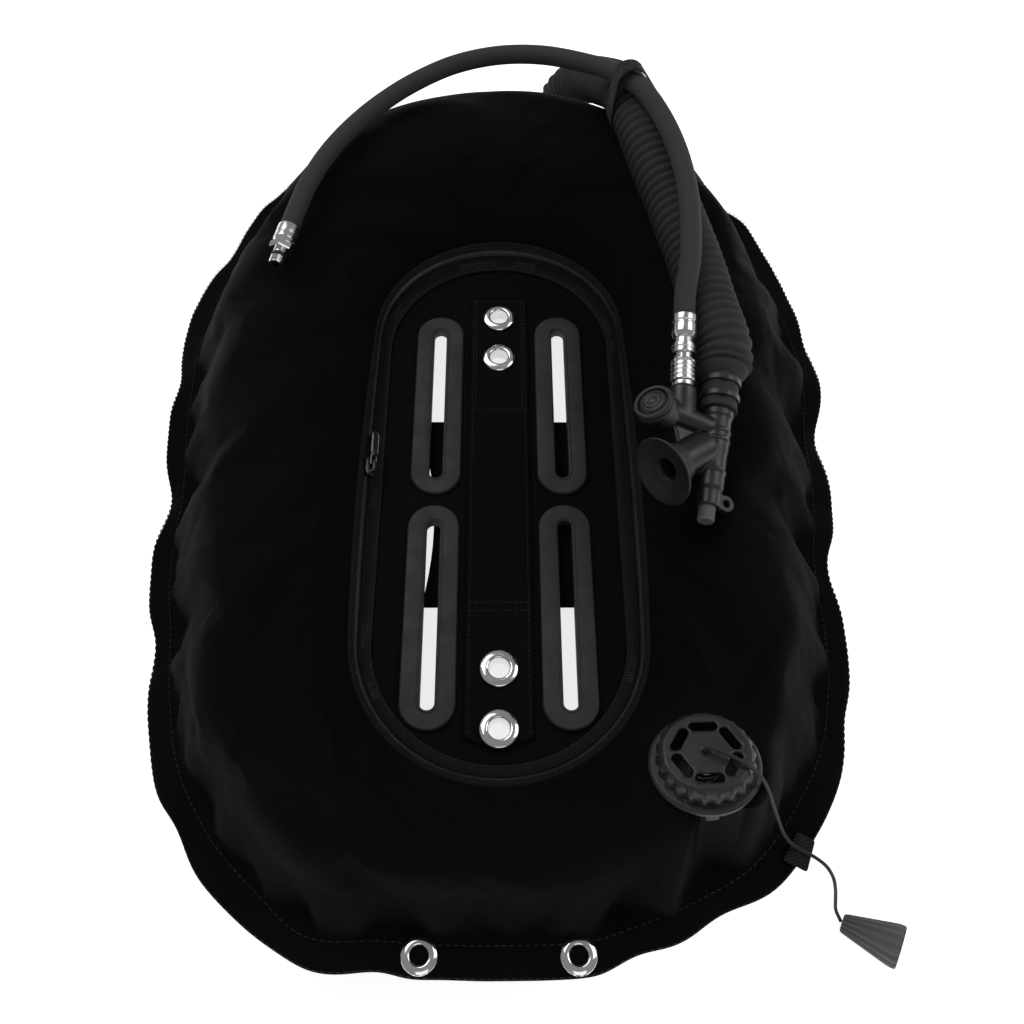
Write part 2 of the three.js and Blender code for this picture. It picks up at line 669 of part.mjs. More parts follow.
const CORD_ROUTE = [
  [105.4, -245.6, 121], [105, -244.1, 126.8], [110.5, -246.2, 130.6], [119, -250.6, 130.9],
  [126.4, -255, 129.4], [132, -259, 124.2], [136.8, -262.4, 114], [141.5, -265, 101],
  [146.5, -267, 87], [151, -269.4, 74.5], [156, -272.5, 63], [161, -275.5, 56.5],
  [166.5, -278.5, 54.4], [173, -282, 54], [179, -286, 52], [184.5, -290.5, 44.5],
  [188.5, -295, 33], [191.5, -299, 20.5], [194, -303, 10.5], [197.2, -308, 5.9],
];
add('dump_cord', tube(CORD_ROUTE, CORD_RADIUS, 8, 40), plastic);

const TAB_X = 166.5;
const TAB_Y = -278.5;
const tab = new THREE.BoxGeometry(14, 18, 1.2).rotateZ(-0.5);
add('cord_guide_tab', tab.translate(TAB_X, TAB_Y, SEAM_TOP + GAP + 0.6), cloth);

const KNOB_LENGTH = 33;
const knobProfile = [
  [1.6, 0], [5.5, 0], [12.3, KNOB_LENGTH - 4], [12.3, KNOB_LENGTH], [9.5, KNOB_LENGTH],
  [8.5, KNOB_LENGTH - 14], [1.6, KNOB_LENGTH - 14],
];
const knobStart = new THREE.Vector3(197.9, -308.7, 5.3);
const knobWay = new THREE.Vector3(25.5, -13, 6.9);
add('dump_knob', along(ring(knobProfile, 14), knobStart, knobWay), plastic);

// ---------------------------------------------------------------- hoses' routes

const CORRUGATED_ROUTE = [
  [42, 341, 20], [45.5, 360, 21.5], [51, 375, 31], [60, 378, 46], [71, 367, 63], [80, 345, 81],
  [87, 316, 100], [92, 286, 118.5], [96, 257, 132.6], [100, 229, 139.6], [104.5, 202, 140.3],
  [112, 169.5, 137.4], [119, 143, 135.2], [124, 119, 133.8], [129, 95, 132.8], [133, 70, 132],
  [136.5, 44, 131.4], [140, 22, 131.6], [141.2, 10, 130.7], [139.9, -2, 128.9],
];
const LP_ROUTE = [
  [115.4, 23, 148.4], [116.6, 38, 152.1], [121, 61, 158.3], [123.6, 88, 161.3], [124.5, 122, 162.5],
  [121, 159.5, 163], [112.5, 192, 165], [100.6, 219.2, 166], [84.4, 244.3, 160.5], [60.2, 267.2, 153],
  [30.9, 282.4, 148], [-0.8, 287.5, 144], [-33.4, 282.4, 140], [-63.4, 265.8, 137],
  [-88.8, 243.6, 134.5], [-109.6, 218.8, 132], [-125.8, 190, 130.5], [-135.5, 162, 130],
  [-141, 137.6, 129.5], [-144.4, 119.8, 129],
];

// ---------------------------------------------------------------- elbow on the rear shell

const elbowBase = elbowSeat.point.clone().addScaledVector(elbowSeat.normal, 0.5);
const elbowFlange = along(ring([
  [11.5, -16], [11.5, 3], [20, 3], [20, 0], [SPIGOT_RADIUS, 0], [SPIGOT_RADIUS, -16],
], 16), elbowBase, elbowSeat.normal);
add('elbow_flange', elbowFlange, plastic);
const elbowNut = along(ring([
  [SPIGOT_RADIUS + GAP, -15.5], [SPIGOT_RADIUS + GAP, -13], [16.4, -13], [16.4, -15.5],
], 16), elbowBase, elbowSeat.normal);
add('elbow_nut', elbowNut, plastic);
const elbowStart = elbowBase.clone().addScaledVector(elbowSeat.normal, 3.9);
const elbowRise = elbowBase.clone().addScaledVector(elbowSeat.normal, 7);
const elbowTurn = elbowBase.clone().addScaledVector(elbowSeat.normal, 11);
const elbowEnd = new THREE.Vector3(...CORRUGATED_ROUTE[0]);
const elbowWay = new THREE.Vector3(...CORRUGATED_ROUTE[1]).sub(elbowEnd).normalize();
elbowEnd.addScaledVector(elbowWay, -GAP);
const elbowRoute = [
  elbowStart.toArray(), elbowRise.toArray(), elbowTurn.toArray(),
  elbowEnd.clone().addScaledVector(elbowWay, -10).toArray(), elbowEnd.toArray(),
];
add('elbow', tube(elbowRoute, SPIGOT_RADIUS, 12, 7), plastic);

// ---------------------------------------------------------------- inflator

const inflator = new THREE.Group();
const barrelUp = new THREE.Vector3(0.1845, 0.9765, 0.112).normalize();
const barrelRight = new THREE.Vector3(0.906, -0.16, -0.4226);
barrelRight.addScaledVector(barrelUp, -barrelRight.dot(barrelUp)).normalize();
inflator.setRotationFromMatrix(new THREE.Matrix4().makeBasis(
  barrelRight, barrelUp, barrelRight.clone().cross(barrelUp)));
inflator.position.set(132, -46, 123);
part.add(inflator);

const v3 = (x, y, z) => new THREE.Vector3(x, y, z);
const UP = v3(0, 1, 0);
const BARREL_TOP = 13;
const BARREL_LOW = -15;
const TAIL_LOW = -52;
const buttonWay = v3(-0.8, 0.1, 0.59).normalize();
const buttonSeat = v3(-BUTTON_REACH, 0, 3); // middle of the button's face at rest
const nippleWay = v3(-0.15, 0.985, 0.07).normalize();
const nippleBase = v3(-NIPPLE_OFFSET, 8, 0);
const mouthWay = v3(-0.71, -0.7, 0).normalize();
const mouthStart = v3(-6, -14, 0);
const MOUTH_TUBE = 11;
const MOUTH_BORE = 7;
const MOUTH_LENGTH = 32;
const MOUTH_STUB = 10; // where the mouth tube leaves the body
const CUP_DEPTH = 9;

const barrelBody = along(turned([
  [0, TAIL_LOW], [7, TAIL_LOW], [7, TAIL_LOW + 12], [TAIL_RADIUS, TAIL_LOW + 13.5],
  [TAIL_RADIUS, BARREL_LOW - 3], [BARREL_RADIUS, BARREL_LOW], [BARREL_RADIUS, BARREL_TOP - 6],
  [COLLAR_RADIUS, BARREL_TOP - 4.5], [COLLAR_RADIUS, BARREL_TOP], [0, BARREL_TOP],
], 16), v3(0, 0, 0), UP);
const crossTube = along(rod(7.2, 0, 40, 14), v3(0, 0, 0), v3(-1, 0, 0.02));
const cupBase = buttonSeat.clone().addScaledVector(buttonWay, -18);
const cupBody = along(turned([
  [0, 0], [9, 0], [12.6, 5], [12.8, 16.5], [12, 17.3], [0, 17.3],
], 18), cupBase, buttonWay);
const bossProfile = [[0, -8], [8.4, -8], [8.4, 10], [7.6, 12], [0, 12]];
const bossBody = along(turned(bossProfile, 14), nippleBase, nippleWay);
const mouthBody = along(rod(MOUTH_TUBE, 0, MOUTH_LENGTH, 16), mouthStart, mouthWay);
const webOutline = new THREE.Shape();
webOutline.moveTo(-4, 0);
webOutline.lineTo(-34, -2);
webOutline.lineTo(-24, -24);
webOutline.lineTo(-4, -16);
webOutline.closePath();
const webPlate = plate(webOutline, -1.5, 1.5);
const lugBody = plate(stadium(THREE.Shape, 11.2, 11, 9.5, TAIL_LOW + 6), -2.5, 2.5, 6);
const lugHole = plate(stadium(THREE.Shape, 4.4, 4.2, 11.4, TAIL_LOW + 6), -4, 4, 6);

const tailBore = along(rod(2.9, TAIL_LOW - 1, BARREL_LOW, 12), v3(0, 0, 0), UP);
const buttonBore = along(rod(DEFLATE_RADIUS + GAP, TAIL_LOW - 1, TAIL_LOW + 9, 14), v3(0, 0, 0), UP);
const barrelBore = along(rod(5.4, BARREL_LOW - 1, BARREL_TOP + 1, 14), v3(0, 0, 0), UP);
const cupBore = along(rod(BUTTON_RADIUS + GAP, 18 - CUP_DEPTH, 20, 18), cupBase, buttonWay);
const stemBore = along(rod(3.6, 1.5, 18, 12), cupBase, buttonWay);
const nippleBore = along(rod(4.6, -2, 14, 12), nippleBase, nippleWay);
const mouthBore = along(rod(MOUTH_BORE, 1, MOUTH_LENGTH + 1, 14), mouthStart, mouthWay);
const mouthCut = along(rod(MOUTH_TUBE + GAP, MOUTH_STUB - GAP, MOUTH_LENGTH + 1, 16), mouthStart, mouthWay);
add('inflator_body', carved(
  [barrelBody, crossTube, cupBody, bossBody, mouthBody, webPlate, lugBody],
  [tailBore, buttonBore, barrelBore, cupBore, stemBore, nippleBore, mouthBore, mouthCut, lugHole],
), plastic, inflator);
add('mouth_tube', along(ring([
  [MOUTH_BORE, MOUTH_STUB], [MOUTH_BORE, MOUTH_LENGTH], [MOUTH_TUBE, MOUTH_LENGTH], [MOUTH_TUBE, MOUTH_STUB],
], 16), mouthStart, mouthWay), plastic, inflator);

// inflate button: a cap in the cup, a stem behind it and a spring round the stem
add('inflate_button', along(turned([
  [0, -4.2], [BUTTON_RADIUS, -4.2], [BUTTON_RADIUS, 1.2], [BUTTON_RADIUS - 1.5, 2.4], [0, 3],
], 18), buttonSeat, buttonWay), plastic, inflator);
add('inflate_valve_stem', along(turned([
  [0, -13], [1.4, -13], [1.4, -4.2 - GAP], [0, -4.2 - GAP],
], 10), buttonSeat, buttonWay), steel, inflator);
const inflateSpring = spring(2.6, 0.4, -9.5, -4.2 - GAP - 0.4, 3);
add('inflate_spring', along(inflateSpring, buttonSeat, buttonWay), steel, inflator);
add('button_guard_ring', along(ring([
  [BUTTON_RADIUS + GAP, -0.4], [BUTTON_RADIUS + GAP, 2.2], [11.6, 2.2], [12.4, 1], [12.4, -0.4],
], 18), buttonSeat, buttonWay), rubber, inflator);

// deflate button: a cap below the tail, a rod up to the seal at the barrel's foot, and a spring
add('deflate_button', along(turned([
  [0, TAIL_LOW - 9], [DEFLATE_RADIUS - 0.6, TAIL_LOW - 9], [DEFLATE_RADIUS, TAIL_LOW - 8],
  [DEFLATE_RADIUS, TAIL_LOW + 3], [1.3, TAIL_LOW + 3],
  [1.3, BARREL_LOW - 1 + GAP], [0, BARREL_LOW - 1 + GAP],
], 14), v3(0, 0, 0), UP), plastic, inflator);
add('exhaust_seal', along(turned([
  [0, BARREL_LOW - 1 + 2 * GAP], [4.8, BARREL_LOW - 1 + 2 * GAP], [4.8, BARREL_LOW + 1.5], [0, BARREL_LOW + 1.5],
], 12), v3(0, 0, 0), UP), rubber, inflator);
const deflateSpring = spring(3.6, 0.45, TAIL_LOW + 3 + GAP + 0.5, TAIL_LOW + 9 - GAP - 0.5, 2);
add('deflate_spring', along(deflateSpring, v3(0, 0, 0), UP), steel, inflator);

// mouthpiece: a rubber sleeve on the diagonal tube with an oval dished flange
const mouthEnd = mouthStart.clone().addScaledVector(mouthWay, MOUTH_LENGTH);
const mouthpiece = ring([
  [MOUTH_TUBE + GAP, -9], [MOUTH_TUBE + 2, -9], [MOUTH_TUBE + 2.4, -1], [21, 3.6], [21.6, 5.4],
  [20, 5.8], [12, 2.6], [MOUTH_BORE, 2], [MOUTH_BORE, GAP], [MOUTH_TUBE + GAP, GAP],
], 20);
add('mouthpiece', along(mouthpiece, mouthEnd, mouthWay), rubber, inflator);

// quick coupling: nipple in the boss, coupler body on it, ribbed sleeve round that
const couple = (geometry) => along(geometry, nippleBase, nippleWay);
add('hose_nipple', couple(ring([
  [1.6, -1.5], [1.6, 26], [3.4, 26], [3.4, 15], [6.6, 15], [6.6, 12 + GAP], [4.3, 12 + GAP], [4.3, -1.5],
], 12)), steel, inflator);
add('coupler_body', couple(ring([
  [3.4 + GAP, 15 + GAP], [3.4 + GAP, 26 + GAP], [1.8, 26 + GAP], [1.8, 44], [6.2, 44], [6.2, 40],
  [7.4, 40], [7.4, 34], [5.4, 34], [5.4, 15 + GAP],
], 12)), steel, inflator);
const sleeveLow = 15 + GAP;
const sleeveHigh = 34 - GAP - SLEEVE_TRAVEL;
const ribs = [];
for (let z = sleeveLow; z < sleeveHigh - 3; z += 3) {
  ribs.push([7.7, z], [7.7, z + 1.6], [7, z + 1.9], [7, z + 2.7]);
}
add('coupler_sleeve', couple(ring([
  [5.4 + GAP, sleeveLow], ...ribs, [7.7, sleeveHigh - 1], [7.4, sleeveHigh], [5.4 + GAP, sleeveHigh],
], 12)), steel, inflator);

// ---------------------------------------------------------------- hoses, ties and fittings

inflator.updateMatrixWorld(true);
const HOSE_STEP = 12; // length of one straight step of a hose

/** A hose along a route, with as many steps as its length needs. */
function hose(name, route, radius, sides, material) {
  const curve = new THREE.CatmullRomCurve3(route.map((p) => v3(...p)), false, 'centripetal');
  const steps = Math.round(curve.getLength() / Math.max(HOSE_STEP, radius * 1.1));
  add(name, tube(route, radius, sides, steps), material);
  return curve;
}
hose('corrugated_hose', CORRUGATED_ROUTE, HOSE_RADIUS, 12, rubber);
const lpCurve = hose('lp_hose', LP_ROUTE, LP_RADIUS, 8, rubber);

// cuff of the corrugated hose between its last rib and the inflator's collar, with two ties
const hoseEnd = v3(...CORRUGATED_ROUTE.at(-1));
const collarTop = inflator.localToWorld(v3(0, BARREL_TOP, 0));
const cuffWay = hoseEnd.clone().sub(collarTop).normalize();
const cuffLength = hoseEnd.distanceTo(collarTop);
const onCuff = (geometry) => along(geometry, collarTop, cuffWay);
const CUFF_RADIUS = 11.2;
add('hose_cuff', onCuff(ring([
  [8, 0.6], [8, cuffLength - 1.3], [14, cuffLength - 1.3], [CUFF_RADIUS, cuffLength - 5],
  [CUFF_RADIUS, 0.6],
], 16)), rubber);
[0.28, 0.62].forEach((share, k) => {
  const middle = cuffLength * share;
  add(`cuff_tie_${k + 1}`, onCuff(ring([
    [CUFF_RADIUS + GAP, middle - 1.8], [CUFF_RADIUS + GAP, middle + 1.8],
    [CUFF_RADIUS + 1.4, middle + 1.8], [CUFF_RADIUS + 1.4, middle - 1.8],
  ], 16)), plastic);
});

// ferrule at the inflator's end, from the coupler's hex to the hose
const couplerTop = couple(new THREE.BufferGeometry().setFromPoints([v3(0, 0, 44 + GAP)]));
const ferruleLow = inflator.localToWorld(v3().fromBufferAttribute(couplerTop.attributes.position, 0));
const ferruleHigh = v3(...LP_ROUTE[0]);
const ferruleWay = ferruleHigh.clone().sub(ferruleLow);
const ferruleLength = ferruleWay.length();
add('inflator_end_ferrule', along(ring([
  [2, 0], [2, ferruleLength - GAP], [LP_RADIUS + 1, ferruleLength - GAP], [LP_RADIUS + 1, 3],
  [LP_RADIUS - 0.4, 0],
], 14), ferruleLow, ferruleWay), steel);

// fitting on the free end: ferrule, hexagon, threaded stub and its ring
const freeEnd = lpCurve.getPoint(1);
const freeWay = lpCurve.getTangent(1);
const onFree = (geometry) => along(geometry, freeEnd.clone().addScaledVector(freeWay, GAP), freeWay);
add('free_end_ferrule', onFree(ring([
  [2, 0], [2, 15], [6, 15], [LP_RADIUS + 0.9, 12], [LP_RADIUS + 0.9, 0],
], 14)), steel);
add('free_end_fitting', onFree(carved([
  turned([[0, 15 + GAP], [8.6, 15 + GAP], [8.6, 21], [0, 21]], 6),
  turned([[0, 20], [4.6, 20], [4.6, 24], [3.6, 24], [3.6, 27], [4.8, 27], [4.8, 33], [0, 33]], 12),
], [rod(2, 14, 34, 8)])), chrome);
add('free_end_ring', onFree(ring([
  [3.6 + GAP, 24.5], [3.6 + GAP, 26.5], [5.2, 26.5], [5.2, 24.5],
], 12)), rubber);

// keeper strap round both hoses where they cross the head of the wing
const STRAP_WIDTH = 15;
const STRAP = 1;
const STRAP_SLACK = 3.8; // room round the small hose, which crosses the strap at a slant
const corrugatedCurve = new THREE.CatmullRomCurve3(
  CORRUGATED_ROUTE.map((p) => v3(...p)), false, 'centripetal');

/** The point of a curve nearest another point. */
function nearest(curve, target) {
  const points = curve.getSpacedPoints(400);
  return points.reduce((best, p) => (p.distanceTo(target) < best.distanceTo(target) ? p : best));
}
const strapHose = v3(...CORRUGATED_ROUTE[9]);
const strapLp = nearest(lpCurve, strapHose);
const strapWay = v3(...CORRUGATED_ROUTE[10]).sub(v3(...CORRUGATED_ROUTE[8])).normalize();
const strapAcross = strapLp.clone().sub(strapHose);
strapAcross.addScaledVector(strapWay, -strapAcross.dot(strapWay));
const reach = strapAcross.length();
strapAcross.normalize();
const strapSide = strapWay.clone().cross(strapAcross);

/** One ring of the strap: round the big hose, over the small one, as a taut belt. */
function strapLoop(extra, shift) {
  const big = HOSE_RADIUS + GAP + extra;
  const small = LP_RADIUS + STRAP_SLACK + extra;
  const lean = Math.acos((big - small) / reach);
  const points = [];
  const place = (radius, centre, angle) => strapHose.clone()
    .addScaledVector(strapAcross, centre + radius * Math.cos(angle))
    .addScaledVector(strapSide, radius * Math.sin(angle))
    .addScaledVector(strapWay, shift);
  for (let k = 0; k < 6; k += 1) points.push(place(small, reach, -lean + (2 * lean * k) / 5));
  for (let k = 0; k < 12; k += 1) {
    points.push(place(big, 0, lean + ((2 * Math.PI - 2 * lean) * k) / 11));
  }
  return points;
}
add('keeper_strap', band([
  strapLoop(0.8, -STRAP_WIDTH / 2), strapLoop(0.8, STRAP_WIDTH / 2),
  strapLoop(0.8 + STRAP, STRAP_WIDTH / 2), strapLoop(0.8 + STRAP, -STRAP_WIDTH / 2),
]), rubber);

export default part;
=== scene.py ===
"""Looks of a donut buoyancy wing for diving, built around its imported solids.

Each sub-assembly is a class that holds its sizes in metres. It builds its meshes with numpy, dresses
them in a finish and puts them on the body that carries them. The frame is the solids' own: the wing
lies on its back, +Z up, +Y towards the head end, +X towards the side with the inflator.
"""

import logging  # noqa: E402
import math  # noqa: E402
from collections.abc import Callable  # noqa: E402
from dataclasses import dataclass, field  # noqa: E402
from enum import Enum  # noqa: E402

import bpy  # noqa: E402
import numpy as np  # noqa: E402
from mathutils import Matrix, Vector  # noqa: E402
from mathutils.geometry import delaunay_2d_cdt  # noqa: E402


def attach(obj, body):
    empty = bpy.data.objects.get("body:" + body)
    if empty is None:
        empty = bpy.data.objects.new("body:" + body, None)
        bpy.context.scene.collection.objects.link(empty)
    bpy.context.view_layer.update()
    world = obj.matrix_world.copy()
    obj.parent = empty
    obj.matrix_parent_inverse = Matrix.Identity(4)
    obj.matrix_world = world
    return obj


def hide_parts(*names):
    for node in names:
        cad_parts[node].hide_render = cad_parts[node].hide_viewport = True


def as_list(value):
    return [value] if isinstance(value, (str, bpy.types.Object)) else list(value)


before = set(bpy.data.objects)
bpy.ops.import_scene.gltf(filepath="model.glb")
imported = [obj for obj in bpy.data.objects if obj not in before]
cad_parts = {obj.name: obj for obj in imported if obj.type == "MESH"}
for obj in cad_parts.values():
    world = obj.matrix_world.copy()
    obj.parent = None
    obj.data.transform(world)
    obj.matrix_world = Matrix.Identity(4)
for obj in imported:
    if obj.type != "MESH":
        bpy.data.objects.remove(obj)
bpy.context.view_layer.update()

log = logging.getLogger("wing")
MM = 0.001
TINY = 1e-12
UP = np.array([0.0, 0.0, 1.0])
EAST = np.array([1.0, 0.0, 0.0])
NORTH = np.array([0.0, 1.0, 0.0])
Colour = tuple[float, float, float, float]
Profile = list[tuple[float, float]]
Place = tuple[float, float, float]


class Body(Enum):
    """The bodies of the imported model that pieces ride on."""

    ROOT = "root"
    INFLATE = "inflate_valve"
    DEFLATE = "deflate_valve"
    SLEEVE = "coupler_sleeve"
    DUMP = "dump_valve_stem"
    SLIDER = "zipper_slider"
    PULL = "zipper_pull"


class Slot(Enum):
    """The record's material slots."""

    FABRIC = "nylon_fabric"
    FILM = "bladder_film"
    RUBBER = "moulded_rubber"
    HOSE = "hose_rubber"
    JACKET = "hose_jacket"
    STRAP = "strap_webbing"
    CORD = "braided_cord"
    PLASTIC = "black_plastic"
    KNOB = "knob_plastic"
    CHROME = "chrome_fittings"
    STEEL = "steel_fittings"


class Side(Enum):
    """The two faces of the ring of fabric."""

    FRONT = "front"
    REAR = "rear"


# ---------------------------------------------------------------- vectors and surfaces


def unit(vectors: np.ndarray) -> np.ndarray:
    """Vectors, along the last axis, divided by their own length."""
    return vectors / np.maximum(np.linalg.norm(vectors, axis=-1, keepdims=True), TINY)


def smoothstep(low: float, high: float, value: np.ndarray) -> np.ndarray:
    """Values mapped to 0 below low, 1 above high, and 3t^2 - 2t^3 of the share t between them."""
    share = np.clip((value - low) / (high - low), 0, 1)
    return share * share * (3 - 2 * share)


def basis(way: np.ndarray) -> np.ndarray:
    """Three unit rows: two across a direction and the direction itself, right-handed.

    Args:
        way: the direction.

    Returns:
        A 3 by 3 array of rows across, beside and along.
    """
    along = unit(np.asarray(way, float))
    helper = NORTH if abs(along[1]) < 0.8 else EAST
    across = unit(np.cross(helper, along))
    return np.stack([across, np.cross(along, across), along])


@dataclass
class Surface:
    """Points, faces and flat places (in metres) of one or more closed skins."""

    points: np.ndarray
    quads: np.ndarray
    tris: np.ndarray
    quad_uv: np.ndarray
    tri_uv: np.ndarray

    @staticmethod
    def join(parts: "list[Surface]") -> "Surface":
        """Puts several surfaces into one.

        Args:
            parts: the surfaces.

        Returns:
            One surface with the points and faces of all.
        """
        starts = np.cumsum([0] + [len(p.points) for p in parts[:-1]])
        return Surface(
            np.concatenate([p.points for p in parts]),
            np.concatenate([p.quads + s for p, s in zip(parts, starts)]),
            np.concatenate([p.tris + s for p, s in zip(parts, starts)]),
            np.concatenate([p.quad_uv for p in parts]),
            np.concatenate([p.tri_uv for p in parts]),
        )

    def placed(self, rows: np.ndarray, origin: np.ndarray) -> "Surface":
        """The surface with its X, Y and Z along the three rows and its zero at the origin given."""
        points = self.points @ np.asarray(rows) + np.asarray(origin)
        return Surface(points, self.quads, self.tris, self.quad_uv, self.tri_uv)

    def outward(self) -> "Surface":
        """The same surface with its faces turned out, told by the sign of its volume."""
        corners = np.concatenate([self.quads[:, :3], self.quads[:, [0, 2, 3]], self.tris])
        a, b, c = (self.points[corners[:, k]] for k in range(3))
        if np.einsum("ij,ij->", a, np.cross(b, c)) < 0:
            self.quads, self.quad_uv = self.quads[:, ::-1], self.quad_uv[:, ::-1]
            self.tris, self.tri_uv = self.tris[:, ::-1], self.tri_uv[:, ::-1]
        return self

    def shown(self, name: str, material: bpy.types.Material, sharp: float = 35.0) -> bpy.types.Object:
        """Makes a Blender object of the surface, at the origin and unturned.

        Args:
            name: the piece's name.
            material: what it is dressed in.
            sharp: edges that turn by more degrees than this stay crisp.

        Returns:
            The new object.
        """
        mesh = bpy.data.meshes.new(name)
        quads, tris = len(self.quads), len(self.tris)
        mesh.vertices.add(len(self.points))
        mesh.vertices.foreach_set("co", self.points.astype(np.float32).ravel())
        mesh.loops.add(4 * quads + 3 * tris)
        loops = np.concatenate([self.quads.ravel(), self.tris.ravel()]).astype(np.int32)
        mesh.loops.foreach_set("vertex_index", loops)
        mesh.polygons.add(quads + tris)
        totals = np.concatenate([np.full(quads, 4), np.full(tris, 3)]).astype(np.int32)
        starts = np.concatenate([[0], np.cumsum(totals)[:-1]]).astype(np.int32)
        mesh.polygons.foreach_set("loop_start", starts)
        mesh.polygons.foreach_set("loop_total", totals)
        mesh.polygons.foreach_set("use_smooth", np.ones(quads + tris, bool))
        layer = mesh.uv_layers.new(name="cloth")
        flat = np.concatenate([self.quad_uv.reshape(-1, 2), self.tri_uv.reshape(-1, 2)])
        layer.data.foreach_set("uv", flat.astype(np.float32).ravel())
        mesh.update(calc_edges=True)
        mesh.validate()
        mesh.set_sharp_from_angle(angle=math.radians(sharp))
        made = bpy.data.objects.new(name, mesh)
        made.data.materials.append(material)
        bpy.context.scene.collection.objects.link(made)
        return made


def grid(points: np.ndarray, around: bool = True, loop: bool = False,
         poles: tuple[bool, bool] = (False, False)) -> Surface:
    """A surface from rows of points.

    Flat places are lengths: across is the way along the middle row, up the mean way between rows.

    Args:
        points: rows by columns by 3.
        around: whether each row closes on itself.
        loop: whether the last row joins the first.
        poles: whether the first and the last row are closed by a fan to their middle.

    Returns:
        The surface, with its faces out where it is closed.
    """
    rows, columns = points.shape[:2]
    row = np.arange(rows if loop else rows - 1)[:, None]
    column = np.arange(columns if around else columns - 1)[None, :]
    below, beside = (row + 1) % rows, (column + 1) % columns
    quads = np.stack(np.broadcast_arrays(
        row * columns + column, row * columns + beside,
        below * columns + beside, below * columns + column), -1).reshape(-1, 4)
    middle = points[rows // 2]
    steps = np.linalg.norm(np.roll(middle, -1, 0) - middle, axis=1)
    u = np.concatenate([[0], np.cumsum(steps)])
    gaps = np.linalg.norm(np.roll(points, -1, 0) - points, axis=2).mean(1)
    v = np.concatenate([[0], np.cumsum(gaps)])
    uv = np.stack([np.stack(np.broadcast_arrays(u[column + a], v[row + b]), -1)
                   for a, b in ((0, 0), (1, 0), (1, 1), (0, 1))], 2).reshape(-1, 4, 2)
    flat = points.reshape(-1, 3)
    fans, fan_uv, extra = [], [], []
    for end, wanted in enumerate(poles):
        if not wanted:
            continue
        first = 0 if end == 0 else (rows - 1) * columns
        ring = first + np.arange(columns)
        after = first + (np.arange(columns) + 1) % columns
        centre = np.full(columns, len(flat) + len(extra))
        extra.append(points[0 if end == 0 else -1].mean(0))
        fans.append(np.stack([after, ring, centre] if end == 0 else [ring, after, centre], 1))
        place = np.stack([flat[fans[-1][:, k]][:, :2] for k in range(2)] +
                         [np.broadcast_to(extra[-1][:2], (columns, 2))], 1)
        fan_uv.append(place)
    return Surface(
        np.concatenate([flat, np.array(extra).reshape(-1, 3)]), quads,
        np.concatenate(fans) if fans else np.zeros((0, 3), int), uv,
        np.concatenate(fan_uv) if fan_uv else np.zeros((0, 3, 2))).outward()


def turned(profile: Profile, segments: int = 64, ring: bool = True,
           ripple: tuple[int, float] = (0, 0.0)) -> Surface:
    """A body of revolution about Z: each profile point (r, z) becomes the circle r(cos a, sin a), z.

    Args:
        profile: (radius, height) pairs in millimetres.
        segments: points round each circle.
        ring: whether the profile closes on itself; if not, its ends are closed at the axis.
        ripple: how many ribs run up the walls that face out, and how high they stand, in
            millimetres.

    Returns:
        The closed surface, in metres.
    """
    radius, height = np.array(profile, float).T * MM
    angle = 2 * math.pi * np.arange(segments) / segments
    count, stand = ripple
    wave = stand * MM * (np.cos(count * angle) - 1) / 2
    step_r = np.roll(radius, -1) - np.roll(radius, 1)
    step_z = np.roll(height, -1) - np.roll(height, 1)
    area = np.sum(radius * np.roll(height, -1) - np.roll(radius, -1) * height)
    facing = smoothstep(0.5, 0.9, np.sign(area) * step_z / np.hypot(step_r, step_z + TINY))
    r = radius[:, None] + facing[:, None] * wave[None, :]
    points = np.stack([r * np.cos(angle), r * np.sin(angle),
                       np.broadcast_to(height[:, None], r.shape)], -1)
    return grid(points, loop=ring, poles=(not ring, not ring))


def rounded(profile: Profile, radius: float, steps: int = 3, closed: bool = True) -> Profile:
    """A profile whose corners are cut by short arcs.

    Each corner P between A and B becomes the curve (1-t)^2 a + 2t(1-t) P + t^2 b, where a and b lie
    on the two sides at the given distance from P.

    Args:
        profile: (radius, height) pairs in millimetres.
        radius: how far from each corner the arc starts; never past 0.45 of a side.
        steps: pieces in each arc.
        closed: whether the profile closes on itself; if not, its end points stay.

    Returns:
        The longer profile.
    """
    p = np.array(profile, float)
    before, after = np.roll(p, 1, 0) - p, np.roll(p, -1, 0) - p
    reach = [np.minimum(radius, 0.45 * np.linalg.norm(s, axis=1))[:, None] * unit(s)
             for s in (before, after)]
    t = np.linspace(0, 1, steps + 1)[None, :, None]
    a, b, m = (p + reach[0])[:, None], (p + reach[1])[:, None], p[:, None]
    arcs = (1 - t) ** 2 * a + 2 * t * (1 - t) * m + t * t * b
    if closed:
        return [tuple(x) for x in arcs.reshape(-1, 2)]
    inner = arcs[1:-1].reshape(-1, 2)
    return [tuple(p[0]), *[tuple(x) for x in inner], tuple(p[-1])]


def spun(profile: Profile, way: np.ndarray, base: np.ndarray, soft: float,
         segments: int = 64) -> Surface:
    """A solid body of revolution about an axis, its profile's corners cut by soft millimetres."""
    return turned(rounded(profile, soft, closed=False), segments, ring=False).placed(basis(way), base)


